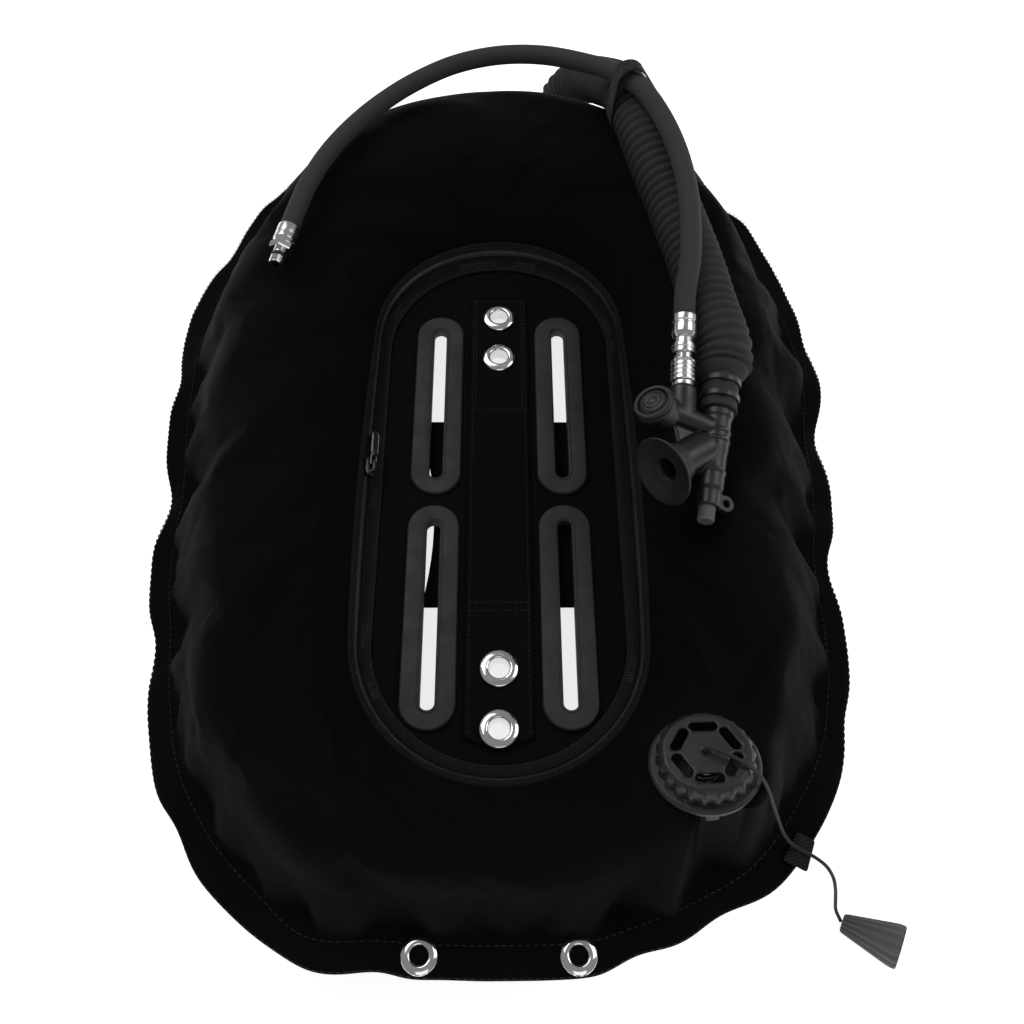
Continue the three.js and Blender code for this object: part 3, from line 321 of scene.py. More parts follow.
def smooth_path(route: list[list[float]], step: float) -> np.ndarray:
    """A smooth line through points: a cubic whose knots are the square roots of the chords.

    Args:
        route: points in millimetres.
        step: the even spacing of the result, in metres.

    Returns:
        Points of the line in metres, evenly spaced.
    """
    p = np.array(route, float) * MM
    p = np.vstack([2 * p[0] - p[1], p, 2 * p[-1] - p[-2]])
    knots = np.concatenate([[0], np.cumsum(np.sqrt(np.linalg.norm(np.diff(p, axis=0), axis=1)))])
    share = np.linspace(0, 1, 24, endpoint=False)
    k0, k1, k2, k3 = (knots[i:len(knots) - 3 + i][:, None, None] for i in range(4))
    p0, p1, p2, p3 = (p[i:len(p) - 3 + i][:, None] for i in range(4))
    t = k1 + (k2 - k1) * share[None, :, None]
    a1 = (k1 - t) / (k1 - k0) * p0 + (t - k0) / (k1 - k0) * p1
    a2 = (k2 - t) / (k2 - k1) * p1 + (t - k1) / (k2 - k1) * p2
    a3 = (k3 - t) / (k3 - k2) * p2 + (t - k2) / (k3 - k2) * p3
    b1 = (k2 - t) / (k2 - k0) * a1 + (t - k0) / (k2 - k0) * a2
    b2 = (k3 - t) / (k3 - k1) * a2 + (t - k1) / (k3 - k1) * a3
    line = ((k2 - t) / (k2 - k1) * b1 + (t - k1) / (k2 - k1) * b2).reshape(-1, 3)
    return evenly(np.vstack([line, p[-2]]), step)


def evenly(line: np.ndarray, step: float, closed: bool = False) -> np.ndarray:
    """A line with its points moved along it until they are evenly spaced.

    Args:
        line: points of the line.
        step: the wanted spacing, in metres; the nearest whole number of steps is taken.
        closed: whether the last point joins the first; then the first isn't repeated.

    Returns:
        The new points.
    """
    if closed:
        line = np.vstack([line, line[:1]])
    way = np.concatenate([[0], np.cumsum(np.linalg.norm(np.diff(line, axis=0), axis=1))])
    count = max(2, round(way[-1] / step))
    wanted = np.linspace(0, way[-1], count + 1)
    if closed:
        wanted = wanted[:-1]
    return np.stack([np.interp(wanted, way, line[:, k]) for k in range(line.shape[1])], 1)


def headings(line: np.ndarray, beside: np.ndarray, closed: bool = False) -> np.ndarray:
    """Three unit directions at each point of a line: across, over and along.

    Along is the central difference, across is beside x along, over is along x across.

    Args:
        line: points of the line.
        beside: a direction that the line never runs along, one for all or one for each point.
        closed: whether the line closes on itself.

    Returns:
        Points by 3 by 3, rows across, over and along.
    """
    if closed:
        way = np.roll(line, -1, 0) - np.roll(line, 1, 0)
    else:
        way = np.gradient(line, axis=0)
    along = unit(way)
    across = unit(np.cross(np.broadcast_to(beside, along.shape), along))
    return np.stack([across, np.cross(along, across), along], 1)


def tube(line: np.ndarray, radius: np.ndarray | float, beside: np.ndarray, sides: int = 24,
         closed: bool = False) -> Surface:
    """A round tube: at each point of the line a circle, radius (cos a across + sin a over).

    Args:
        line: evenly spaced points of its middle.
        radius: one radius, or one for each point.
        beside: a direction that the line never runs along.
        sides: points round the tube.
        closed: whether the tube closes on itself.

    Returns:
        The closed surface.
    """
    across, over, _ = headings(line, beside, closed).transpose(1, 0, 2)
    angle = 2 * math.pi * np.arange(sides) / sides
    r = np.broadcast_to(radius, (len(line),))[:, None, None]
    points = line[:, None] + r * (np.cos(angle)[None, :, None] * across[:, None]
                                  + np.sin(angle)[None, :, None] * over[:, None])
    return grid(points, loop=closed, poles=(not closed, not closed))


def swept(section: np.ndarray, line: np.ndarray, beside: np.ndarray, closed: bool = False) -> Surface:
    """A flat outline (x, y) carried along a line: each point is x across + y over.

    Args:
        section: corners of the outline in metres, in order.
        line: evenly spaced points of the line.
        beside: a direction that the line never runs along, one for all or one for each point.
        closed: whether the line closes on itself.

    Returns:
        The closed surface.
    """
    across, over, _ = headings(line, beside, closed).transpose(1, 0, 2)
    points = line[:, None] + section[None, :, :1] * across[:, None] + section[None, :, 1:] * over[:, None]
    return grid(points, loop=closed, poles=(not closed, not closed))


def repeated(shape: Surface, origins: np.ndarray, rows: np.ndarray) -> Surface:
    """Copies of a small surface at many places, as one surface.

    Args:
        shape: the small surface.
        origins: where each copy's zero goes.
        rows: the directions of each copy's X, Y and Z, copies by 3 by 3.

    Returns:
        One surface.
    """
    count, size = len(origins), len(shape.points)
    points = np.einsum("pk,nkj->npj", shape.points, rows) + origins[:, None]
    shift = (np.arange(count) * size)[:, None, None]
    return Surface(points.reshape(-1, 3), (shape.quads[None] + shift).reshape(-1, 4),
                   (shape.tris[None] + shift).reshape(-1, 3),
                   np.tile(shape.quad_uv, (count, 1, 1)), np.tile(shape.tri_uv, (count, 1, 1)))


def stitch(length: float, width: float) -> Surface:
    """One stitch: five-sided rings whose radius is the root of 1 - (x / half length)^2."""
    x = np.array([-0.97, -0.55, 0.55, 0.97])
    angle = 2 * math.pi * np.arange(5) / 5
    r = np.sqrt(1 - x * x)[:, None] * width / 2
    points = np.stack([r * np.cos(angle), r * np.sin(angle) * 0.8,
                       np.broadcast_to(x[:, None] * length / 2, (4, 5))], -1)
    return grid(points, poles=(True, True))


def stitches(line: np.ndarray, over: np.ndarray, pitch: float = 0.0034, length: float = 0.0024,
             width: float = 0.0006, closed: bool = False) -> Surface:
    """A row of stitches along a line.

    Args:
        line: points of the line, on the cloth.
        over: the direction out of the cloth, one for all or one for each point of the line.
        pitch: distance from stitch to stitch, in metres.
        length: length of one stitch.
        width: thickness of the thread.
        closed: whether the line closes on itself.

    Returns:
        The stitches as one surface.
    """
    joined = np.hstack([line, np.broadcast_to(over, line.shape)])
    if closed:
        joined = np.vstack([joined, joined[:1]])
    way = np.concatenate([[0], np.cumsum(np.linalg.norm(np.diff(joined[:, :3], axis=0), axis=1))])
    count = max(2, round(way[-1] / pitch))
    wanted = (np.arange(count) + 0.5) * way[-1] / count
    even = np.stack([np.interp(wanted, way, joined[:, k]) for k in range(6)], 1)
    place, out = even[:, :3], unit(even[:, 3:])
    along = unit(np.gradient(place, axis=0))
    across = unit(np.cross(out, along))
    rows = np.stack([across, np.cross(along, across), along], 1)
    return repeated(stitch(length, width), place + out * 0.2 * width, rows)


def zigzag(start: np.ndarray, along: np.ndarray, across: np.ndarray, over: np.ndarray, size: float,
           width: float, count: int) -> Surface:
    """A bartack: stitches that run to and fro across a seam.

    Args:
        start: the middle of the tack.
        along: the way it runs.
        across: the way its stitches swing.
        over: the direction out of the cloth.
        size: its length in metres.
        width: its width.
        count: how many stitches.

    Returns:
        The stitches as one surface.
    """
    k = np.arange(count + 1)
    corner = (start + ((k / count - 0.5) * size)[:, None] * along
              + (np.where(k % 2, 0.5, -0.5) * width)[:, None] * across)
    middle, way = (corner[1:] + corner[:-1]) / 2, np.diff(corner, axis=0)
    ahead = unit(way)
    side = unit(np.cross(np.broadcast_to(over, ahead.shape), ahead))
    rows = np.stack([side, np.cross(ahead, side), ahead], 1)
    return repeated(stitch(float(np.linalg.norm(way[0])) * 1.05, 0.0007), middle + over * 0.0002, rows)


def settled(piece: bpy.types.Object) -> bpy.types.Mesh:
    """Gives an object the mesh that its modifiers make of it, and takes the modifiers off.

    Args:
        piece: the object.

    Returns:
        Its new mesh, named as the object is.
    """
    bpy.context.view_layer.update()
    whole = piece.evaluated_get(bpy.context.evaluated_depsgraph_get())
    done = bpy.data.meshes.new_from_object(whole)
    piece.modifiers.clear()
    piece.data = done
    done.name = piece.name
    return done


def fused(name: str, parts: list[Surface], material: bpy.types.Material, voxel: float,
          passes: int) -> bpy.types.Object:
    """One moulded body out of closed parts that run into each other, with small fillets.

    Args:
        name: the piece's name.
        parts: the closed parts.
        material: what it is dressed in.
        voxel: the size of the cells in which they are joined, in metres.
        passes: how often the joined surface is smoothed.

    Returns:
        The new object.
    """
    made = Surface.join(parts).shown(name, material)
    remesh = made.modifiers.new("join", "REMESH")
    remesh.mode = "VOXEL"
    remesh.voxel_size = voxel
    soft = made.modifiers.new("fillets", "SMOOTH")
    soft.factor = 0.5
    soft.iterations = passes
    done = settled(made)
    if not done.materials:
        done.materials.append(material)
    done.polygons.foreach_set("use_smooth", np.ones(len(done.polygons), bool))
    return made


def within(points: np.ndarray, loop: np.ndarray) -> np.ndarray:
    """Whether plan points lie inside an outline: a ray to the right crosses it an odd number of times.

    Args:
        points: the plan points.
        loop: corners of the outline, in order.

    Returns:
        True for each point inside.
    """
    a, b = loop[None], np.roll(loop, -1, 0)[None]
    x, y = points[:, :1], points[:, 1:2]
    rise = b[..., 1] - a[..., 1]
    rise = np.where(np.abs(rise) < TINY, TINY, rise)
    at = a[..., 0] + (y - a[..., 1]) * (b[..., 0] - a[..., 0]) / rise
    return (((a[..., 1] > y) != (b[..., 1] > y)) & (x < at)).sum(1) % 2 == 1


def plated(name: str, outline: np.ndarray, holes: list[np.ndarray], pitch: float,
           height: Callable[[np.ndarray], np.ndarray], thickness: float, material: bpy.types.Material,
           rows: np.ndarray = np.eye(3), origin: np.ndarray = np.zeros(3)) -> bpy.types.Object:
    """A cloth panel with holes: a flat net of triangles between outlines, lifted to a height.

    Args:
        name: the piece's name.
        outline: corners of the panel in plan, in order.
        holes: corners of each hole.
        pitch: spacing of the points inside.
        height: takes the plan points and gives their heights.
        thickness: of the panel, below that height.
        material: what it is dressed in.
        rows: directions of the panel's own X, Y and Z.
        origin: where its zero goes.

    Returns:
        The new object, with a wall.
    """
    loops = [(outline, True)] + [(hole, False) for hole in holes]
    low, high = outline.min(0), outline.max(0)
    x, y = np.meshgrid(np.arange(low[0], high[0], pitch), np.arange(low[1], high[1], pitch))
    inner = np.stack([x.ravel() + pitch / 3, y.ravel() + pitch / 3], 1)
    for loop, wanted in loops:
        clear = np.linalg.norm(inner[:, None] - loop[None], axis=2).min(1) > pitch * 0.45
        inner = inner[(within(inner, loop) == wanted) & clear]
    flat = np.concatenate([outline, *holes, inner])
    edges, start = [], 0
    for loop, _ in loops:
        k = np.arange(len(loop))
        edges += np.stack([start + k, start + (k + 1) % len(loop)], 1).tolist()
        start += len(loop)
    points, _, faces, *_ = delaunay_2d_cdt([Vector(p) for p in flat], edges, [], 0, 1e-7)
    plan, tris = np.array([tuple(p) for p in points]), np.array(faces)
    middles = plan[tris].mean(1)
    keep = np.ones(len(tris), bool)
    for loop, wanted in loops:
        keep &= within(middles, loop) == wanted
    tris = tris[keep]
    space = np.column_stack([plan, height(plan)])
    turn = np.cross(space[tris[:, 1]] - space[tris[:, 0]], space[tris[:, 2]] - space[tris[:, 0]])
    tris[turn[:, 2] < 0] = tris[turn[:, 2] < 0][:, ::-1]
    used = np.unique(tris)
    number = np.full(len(space), -1)
    number[used] = np.arange(len(used))
    tris, space = number[tris], space[used]
    made = Surface(space @ rows + origin, np.zeros((0, 4), int), tris, np.zeros((0, 4, 2)),
                   space[tris][:, :, :2]).shown(name, material)
    wall = made.modifiers.new("wall", "SOLIDIFY")
    wall.thickness = thickness
    wall.offset = -1
    return made


# ---------------------------------------------------------------- shader nodes


class Nodes:
    """Places shader nodes in one tree and joins them."""

    def __init__(self, tree: bpy.types.NodeTree) -> None:
        """Keeps the material's or group's node tree."""
        self.tree = tree

    def add(self, kind: str, inputs: dict | None = None, **settings: object) -> bpy.types.Node:
        """Places a node.

        Args:
            kind: the node's type, without the word ShaderNode.
            inputs: socket name or number to a value or an output to join.
            settings: the node's own properties.

        Returns:
            The node.
        """
        node = self.tree.nodes.new("ShaderNode" + kind)
        for key, value in settings.items():
            setattr(node, key, value)
        for key, value in (inputs or {}).items():
            if isinstance(value, bpy.types.NodeSocket):
                self.tree.links.new(value, node.inputs[key])
            else:
                node.inputs[key].default_value = value
        return node

    def effect(self, effect: "Effect", vector: bpy.types.NodeSocket,
               **values: float) -> bpy.types.NodeSocket:
        """The output of a shared effect, placed with its own vector and values."""
        tree = EFFECTS.get(effect)
        return self.add("Group", {"Vector": vector, **values}, node_tree=tree).outputs[0]

    def math(self, operation: str, a: object, b: object = 0.0, c: object = 0.0) -> bpy.types.NodeSocket:
        """The result of a Math node on one, two or three values."""
        return self.add("Math", {0: a, 1: b, 2: c}, operation=operation).outputs[0]

    def mixed(self, share: object, a: object, b: object) -> bpy.types.NodeSocket:
        """The colour a where share is 0 and b where it is 1."""
        return self.add("Mix", {0: share, 6: a, 7: b}, data_type="RGBA").outputs[2]

    def noise(self, vector: object, scale: object, detail: float = 3.0) -> bpy.types.NodeSocket:
        """The value of a noise pattern."""
        return self.add("TexNoise", {"Vector": vector, "Scale": scale, "Detail": detail}).outputs[0]

    def mapped(self, value: object, low: object, high: object, to_low: object = 0.0,
               to_high: object = 1.0) -> bpy.types.NodeSocket:
        """A value mapped from one range to another and held inside it."""
        return self.add("MapRange", {0: value, 1: low, 2: high, 3: to_low, 4: to_high}).outputs[0]


class Effect(Enum):
    """The shader groups that several finishes share."""

    WEAVE = "weave"
    MOTTLE = "mottle"
    GRAIN = "grain"
    EDGE_WEAR = "edge_wear"
    DUST = "dust"


class Effects:
    """Builds each shared effect once and hands it out."""

    def __init__(self) -> None:
        """Starts with nothing built."""
        self.built: dict[Effect, bpy.types.NodeTree] = {}

    def get(self, effect: Effect) -> bpy.types.NodeTree:
        """The group of an effect, built on its first use.

        Args:
            effect: which one.

        Returns:
            Its node tree.
        """
        if effect not in self.built:
            self.built[effect] = getattr(self, "_" + effect.value)()
        return self.built[effect]

    def _start(self, name: str, inputs: dict[str, object], outputs: list[str]) -> tuple:
        """A new group with sockets.

        Args:
            name: the group's name.
            inputs: socket name to its starting value, None for a vector.
            outputs: names of the value outputs.

        Returns:
            The tree, its nodes' helper, the group's input node and output node.
        """
        tree = bpy.data.node_groups.new(name, "ShaderNodeTree")
        for key, value in inputs.items():
            kind = "NodeSocketVector" if value is None else "NodeSocketFloat"
            socket = tree.interface.new_socket(key, in_out="INPUT", socket_type=kind)
            if value is not None:
                socket.default_value = value
        for key in outputs:
            tree.interface.new_socket(key, in_out="OUTPUT", socket_type="NodeSocketFloat")
        nodes = Nodes(tree)
        return tree, nodes, tree.nodes.new("NodeGroupInput"), tree.nodes.new("NodeGroupOutput")

    def _weave(self) -> bpy.types.NodeTree:
        """Plain weave: each thread is |sin| to the 0.6, lifted where it passes over the other."""
        tree, n, ins, outs = self._start("weave", {"Vector": None, "Threads": 1000.0},
                                         ["Height"])
        split = n.add("SeparateXYZ", {0: ins.outputs["Vector"]})
        warp = n.math("MULTIPLY", split.outputs[0], ins.outputs["Threads"])
        weft = n.math("MULTIPLY", split.outputs[1], ins.outputs["Threads"])
        heights = []
        for mine, other, turn in ((warp, weft, 0.0), (weft, warp, math.pi)):
            across = n.math("ABSOLUTE", n.math("SINE", n.math("MULTIPLY", mine, math.pi)))
            body = n.math("POWER", across, 0.6)
            parity = n.math("MULTIPLY", n.math("FLOOR", mine), math.pi)
            phase = n.math("ADD", n.math("MULTIPLY", other, math.pi), n.math("ADD", parity, turn))
            lift = n.math("MULTIPLY_ADD", n.math("COSINE", phase), 0.5, 0.5)
            heights.append(n.math("MULTIPLY", body, lift))
        tree.links.new(n.math("MAXIMUM", *heights), outs.inputs["Height"])
        return tree

    def _mottle(self) -> bpy.types.NodeTree:
        """Soft clouds, for colour that isn't quite even."""
        tree, n, ins, outs = self._start("mottle", {"Vector": None, "Scale": 12.0}, ["Mask"])
        cloud = n.noise(ins.outputs["Vector"], ins.outputs["Scale"], 5.0)
        tree.links.new(n.mapped(cloud, 0.35, 0.7), outs.inputs["Mask"])
        return tree

    def _grain(self) -> bpy.types.NodeTree:
        """The fine pebbled skin of moulded plastic and rubber."""
        tree, n, ins, outs = self._start("grain", {"Vector": None, "Scale": 2500.0}, ["Height"])
        cell = n.add("TexVoronoi", {"Vector": ins.outputs["Vector"], "Scale": ins.outputs["Scale"]})
        fine = n.noise(ins.outputs["Vector"], n.math("MULTIPLY", ins.outputs["Scale"], 0.4), 2.0)
        tree.links.new(n.math("ADD", cell.outputs["Distance"], fine), outs.inputs["Height"])
        return tree

    def _edge_wear(self) -> bpy.types.NodeTree:
        """Rubbed edges: where the surface is convex, broken up by noise."""
        tree, n, ins, outs = self._start("edge_wear", {"Vector": None, "Amount": 0.5}, ["Mask"])
        point = n.add("NewGeometry").outputs["Pointiness"]
        convex = n.mapped(point, 0.52, 0.6)
        broken = n.mapped(n.noise(ins.outputs["Vector"], 300.0), 0.4, 0.65)
        share = n.math("MULTIPLY", n.math("MULTIPLY", convex, broken), ins.outputs["Amount"])
        tree.links.new(share, outs.inputs["Mask"])
        return tree

    def _dust(self) -> bpy.types.NodeTree:
        """Thin specks of lint and dust on what faces up."""
        tree, n, ins, outs = self._start("dust", {"Vector": None, "Amount": 0.3}, ["Mask"])
        up = n.add("SeparateXYZ", {0: n.add("NewGeometry").outputs["Normal"]}).outputs[2]
        speck = n.mapped(n.noise(ins.outputs["Vector"], 420.0, 2.0), 0.66, 0.78)
        film = n.mapped(n.noise(ins.outputs["Vector"], 18.0, 4.0), 0.4, 0.8, 0.0, 0.35)
        both = n.math("ADD", speck, film)
        facing = n.mapped(up, 0.1, 0.9)
        share = n.math("MULTIPLY", n.math("MULTIPLY", both, facing), ins.outputs["Amount"])
        tree.links.new(share, outs.inputs["Mask"])
        return tree


EFFECTS = Effects()
LINT: Colour = (0.05, 0.049, 0.048, 1.0)
DUST: Colour = (0.2, 0.195, 0.19, 1.0)


@dataclass(frozen=True)
class Finish:
    """What every finish has: a name, two shades and how rough it is."""

    name: str
    dark: Colour
    light: Colour
    rough: float

    def material(self) -> bpy.types.Material:
        """The Blender material, built on first use.

        Returns:
            The material.
        """
        ready = bpy.data.materials.get(self.name)
        if ready:
            return ready
        made = bpy.data.materials.new(self.name)
        made.use_nodes = True
        nodes = Nodes(made.node_tree)
        shader = made.node_tree.nodes["Principled BSDF"]
        self.dress(nodes, shader)
        made.diffuse_color = self.dark
        return made

    def paler(self, times: float) -> Colour:
        """The light shade, made paler by a factor."""
        return tuple(min(1, times * c) for c in self.light[:3]) + (1.0,)

    def dress(self, n: Nodes, shader: bpy.types.Node) -> None:
        """Feeds the shader; each finish has its own way."""
        raise NotImplementedError

    def join(self, n: Nodes, shader: bpy.types.Node, colour: object, rough: object, height: object,
             depth: float, strength: float = 1.0) -> None:
        """Feeds colour, roughness and a bump into the shader.

        Args:
            n: the tree's helper.
            shader: the Principled shader.
            colour: an output with the colour.
            rough: an output with the roughness.
            height: an output with the height.
            depth: how far a height of 1 stands out, in metres.
            strength: how much of the bump shows.
        """
        bump = n.add("Bump", {"Height": height, "Distance": depth, "Strength": strength})
        n.tree.links.new(colour, shader.inputs["Base Color"])
        n.tree.links.new(rough, shader.inputs["Roughness"])
        n.tree.links.new(bump.outputs[0], shader.inputs["Normal"])


@dataclass(frozen=True)
class ClothFinish(Finish):
    """Woven cloth: threads that cross, with painted shade in the gaps between them, paler where they rub,
    with lint.
    """

    threads: float = 1050.0
    depth: float = 0.00022
    dust: float = 0.05

    def dress(self, n: Nodes, shader: bpy.types.Node) -> None:
        """Weave with painted shade in its gaps, clouds and dust."""
        place = n.add("UVMap", uv_map="cloth").outputs[0]
        solid = n.add("TexCoord").outputs["Object"]
        weave = n.effect(Effect.WEAVE, place, Threads=self.threads)
        cloud = n.effect(Effect.MOTTLE, solid, Scale=9.0)
        dust = n.effect(Effect.DUST, solid, Amount=self.dust)
        wear = n.effect(Effect.EDGE_WEAR, solid, Amount=0.35)
        lift = n.math("MULTIPLY", weave, n.math("MULTIPLY_ADD", cloud, 0.5, 0.5))
        # painted shade: the weave's gaps get the dark shade and its lifted threads the light one, as light
        # falls on the weave
        thread = n.mixed(lift, self.dark, self.light)
        rubbed = n.mixed(wear, thread, self.paler(2.2))
        colour = n.mixed(dust, rubbed, LINT)
        rough = n.mapped(cloud, 0.0, 1.0, self.rough - 0.06, self.rough + 0.06)
        fuzz = n.noise(solid, 1400.0, 2.0)
        height = n.math("MULTIPLY_ADD", fuzz, 0.25, weave)
        self.join(n, shader, colour, rough, height, self.depth)
        shader.inputs["Specular IOR Level"].default_value = 0.08


@dataclass(frozen=True)
class MouldedFinish(Finish):
    """Moulded plastic or rubber: a pebbled skin with rubbed edges and a little dust."""

    grain: float = 2200.0
    depth: float = 0.00005
    dust: float = 0.08
    wear: float = 0.4
    coat: float = 0.0

    def dress(self, n: Nodes, shader: bpy.types.Node) -> None:
        """Grain, clouds, wear and dust."""
        solid = n.add("TexCoord").outputs["Object"]
        grain = n.effect(Effect.GRAIN, solid, Scale=self.grain)
        cloud = n.effect(Effect.MOTTLE, solid, Scale=40.0)
        wear = n.effect(Effect.EDGE_WEAR, solid, Amount=self.wear)
        dust = n.effect(Effect.DUST, solid, Amount=self.dust)
        skin = n.mixed(cloud, self.dark, self.light)
        rubbed = n.mixed(wear, skin, self.paler(2.5))
        colour = n.mixed(dust, rubbed, DUST)
        streak = n.mapped(n.noise(solid, 90.0, 4.0), 0.3, 0.7, self.rough - 0.07, self.rough + 0.09)
        self.join(n, shader, colour, streak, grain, self.depth)
        shader.inputs["Coat Weight"].default_value = self.coat
        shader.inputs["Coat Roughness"].default_value = 0.15


@dataclass(frozen=True)
class MetalFinish(Finish):
    """Bright metal with fine machining lines and small scuffs."""

    lines: float = 900.0

    def dress(self, n: Nodes, shader: bpy.types.Node) -> None:
        """Machining lines, scuffs and a dull film."""
        solid = n.add("TexCoord").outputs["Object"]
        place = n.add("UVMap", uv_map="cloth").outputs[0]
        split = n.add("SeparateXYZ", {0: place})
        across = n.add("CombineXYZ", {0: n.math("MULTIPLY", split.outputs[0], 40.0),
                                      1: n.math("MULTIPLY", split.outputs[1], self.lines * 4)})
        lines = n.noise(across.outputs[0], 1.0, 2.0)
        scuff = n.mapped(n.noise(solid, 160.0, 5.0), 0.52, 0.72)
        film = n.effect(Effect.MOTTLE, solid, Scale=60.0)
        colour = n.mixed(n.math("MULTIPLY", film, 0.6), self.light, self.dark)
        rough = n.math("ADD", n.mapped(scuff, 0.0, 1.0, self.rough, self.rough + 0.16),
                       n.math("MULTIPLY", lines, 0.08))
        self.join(n, shader, colour, rough, lines, 0.00002, 0.6)
        shader.inputs["Metallic"].default_value = 1.0


@dataclass(frozen=True)
class BraidFinish(Finish):
    """A braided cover: two sets of yarns that wind opposite ways round a hose or cord, with painted shade
    in the gaps between them.
    """

    yarns: float = 700.0
    depth: float = 0.00012

    def dress(self, n: Nodes, shader: bpy.types.Node) -> None:
        """Slanted weave on the flat places of the tube, with painted shade in its gaps."""
        place = n.add("UVMap", uv_map="cloth").outputs[0]
        solid = n.add("TexCoord").outputs["Object"]
        slant = n.add("Mapping", {"Vector": place, "Rotation": (0.0, 0.0, math.radians(45))})
        weave = n.effect(Effect.WEAVE, slant.outputs[0], Threads=self.yarns)
        cloud = n.effect(Effect.MOTTLE, solid, Scale=30.0)
        dust = n.effect(Effect.DUST, solid, Amount=0.05)
        # painted shade: the gaps between yarns get the dark shade and the lifted yarns the light one
        gap_shaded_yarn = n.mixed(weave, self.dark, self.light)
        faded = n.mixed(n.math("MULTIPLY", cloud, 0.35), gap_shaded_yarn, self.light)
        colour = n.mixed(dust, faded, DUST)
        rough = n.mapped(cloud, 0.0, 1.0, self.rough - 0.05, self.rough + 0.07)
        self.join(n, shader, colour, rough, weave, self.depth)


def grey(value: float, tint: float = 0.04) -> Colour:
    """A neutral shade that leans to blue by a small share."""
    return (value * (1 - tint), value, value * (1 + tint), 1.0)


NYLON = ClothFinish("nylon", grey(0.0012), grey(0.0045), 0.82)
PANEL_NYLON = ClothFinish("panel_nylon", grey(0.0012), grey(0.0045), 0.84, threads=900.0)
LINING = ClothFinish("film", (0.01, 0.018, 0.035, 1.0), (0.02, 0.035, 0.07, 1.0), 0.45)
TAPE_CLOTH = ClothFinish("zip_tape", grey(0.005), grey(0.013), 0.6, threads=1500.0, depth=0.0001)
WEBBING = ClothFinish("webbing", grey(0.012), grey(0.04), 0.7, threads=800.0, depth=0.0003)
THREAD = ClothFinish("thread", grey(0.012), grey(0.035), 0.55, threads=4000.0, depth=0.00005)
RIM_RUBBER = MouldedFinish("rim_rubber", grey(0.009), grey(0.015), 0.62, grain=1800.0)
HOSE_RUBBER = MouldedFinish("hose_rubber", grey(0.006), grey(0.014), 0.42, grain=1500.0, dust=0.06)
MOUTH_RUBBER = MouldedFinish("mouth_rubber", grey(0.009), grey(0.016), 0.5, grain=2600.0)
PLASTIC = MouldedFinish("plastic", grey(0.007), grey(0.013), 0.36, grain=2600.0, depth=0.00004)
CAP_PLASTIC = MouldedFinish("cap_plastic", grey(0.009), grey(0.016), 0.42, grain=2000.0)
KNOB_PLASTIC = MouldedFinish("knob_plastic", grey(0.010), grey(0.022), 0.2, grain=2400.0, wear=0.8,
                             coat=0.6)
COIL_PLASTIC = MouldedFinish("coil_plastic", grey(0.005), grey(0.011), 0.4, grain=3000.0)
JACKET = BraidFinish("hose_jacket", grey(0.008), grey(0.022), 0.4)
BRAID = BraidFinish("cord_braid", grey(0.008), grey(0.03), 0.7, yarns=2600.0)
CHROME = MetalFinish("chrome", (0.62, 0.63, 0.65, 1.0), (0.86, 0.87, 0.88, 1.0), 0.07)
STEEL = MetalFinish("steel", (0.5, 0.5, 0.51, 1.0), (0.78, 0.78, 0.77, 1.0), 0.17)
DARK_STEEL = MetalFinish("dark_steel", (0.1, 0.1, 0.105, 1.0), (0.2, 0.2, 0.21, 1.0), 0.3)


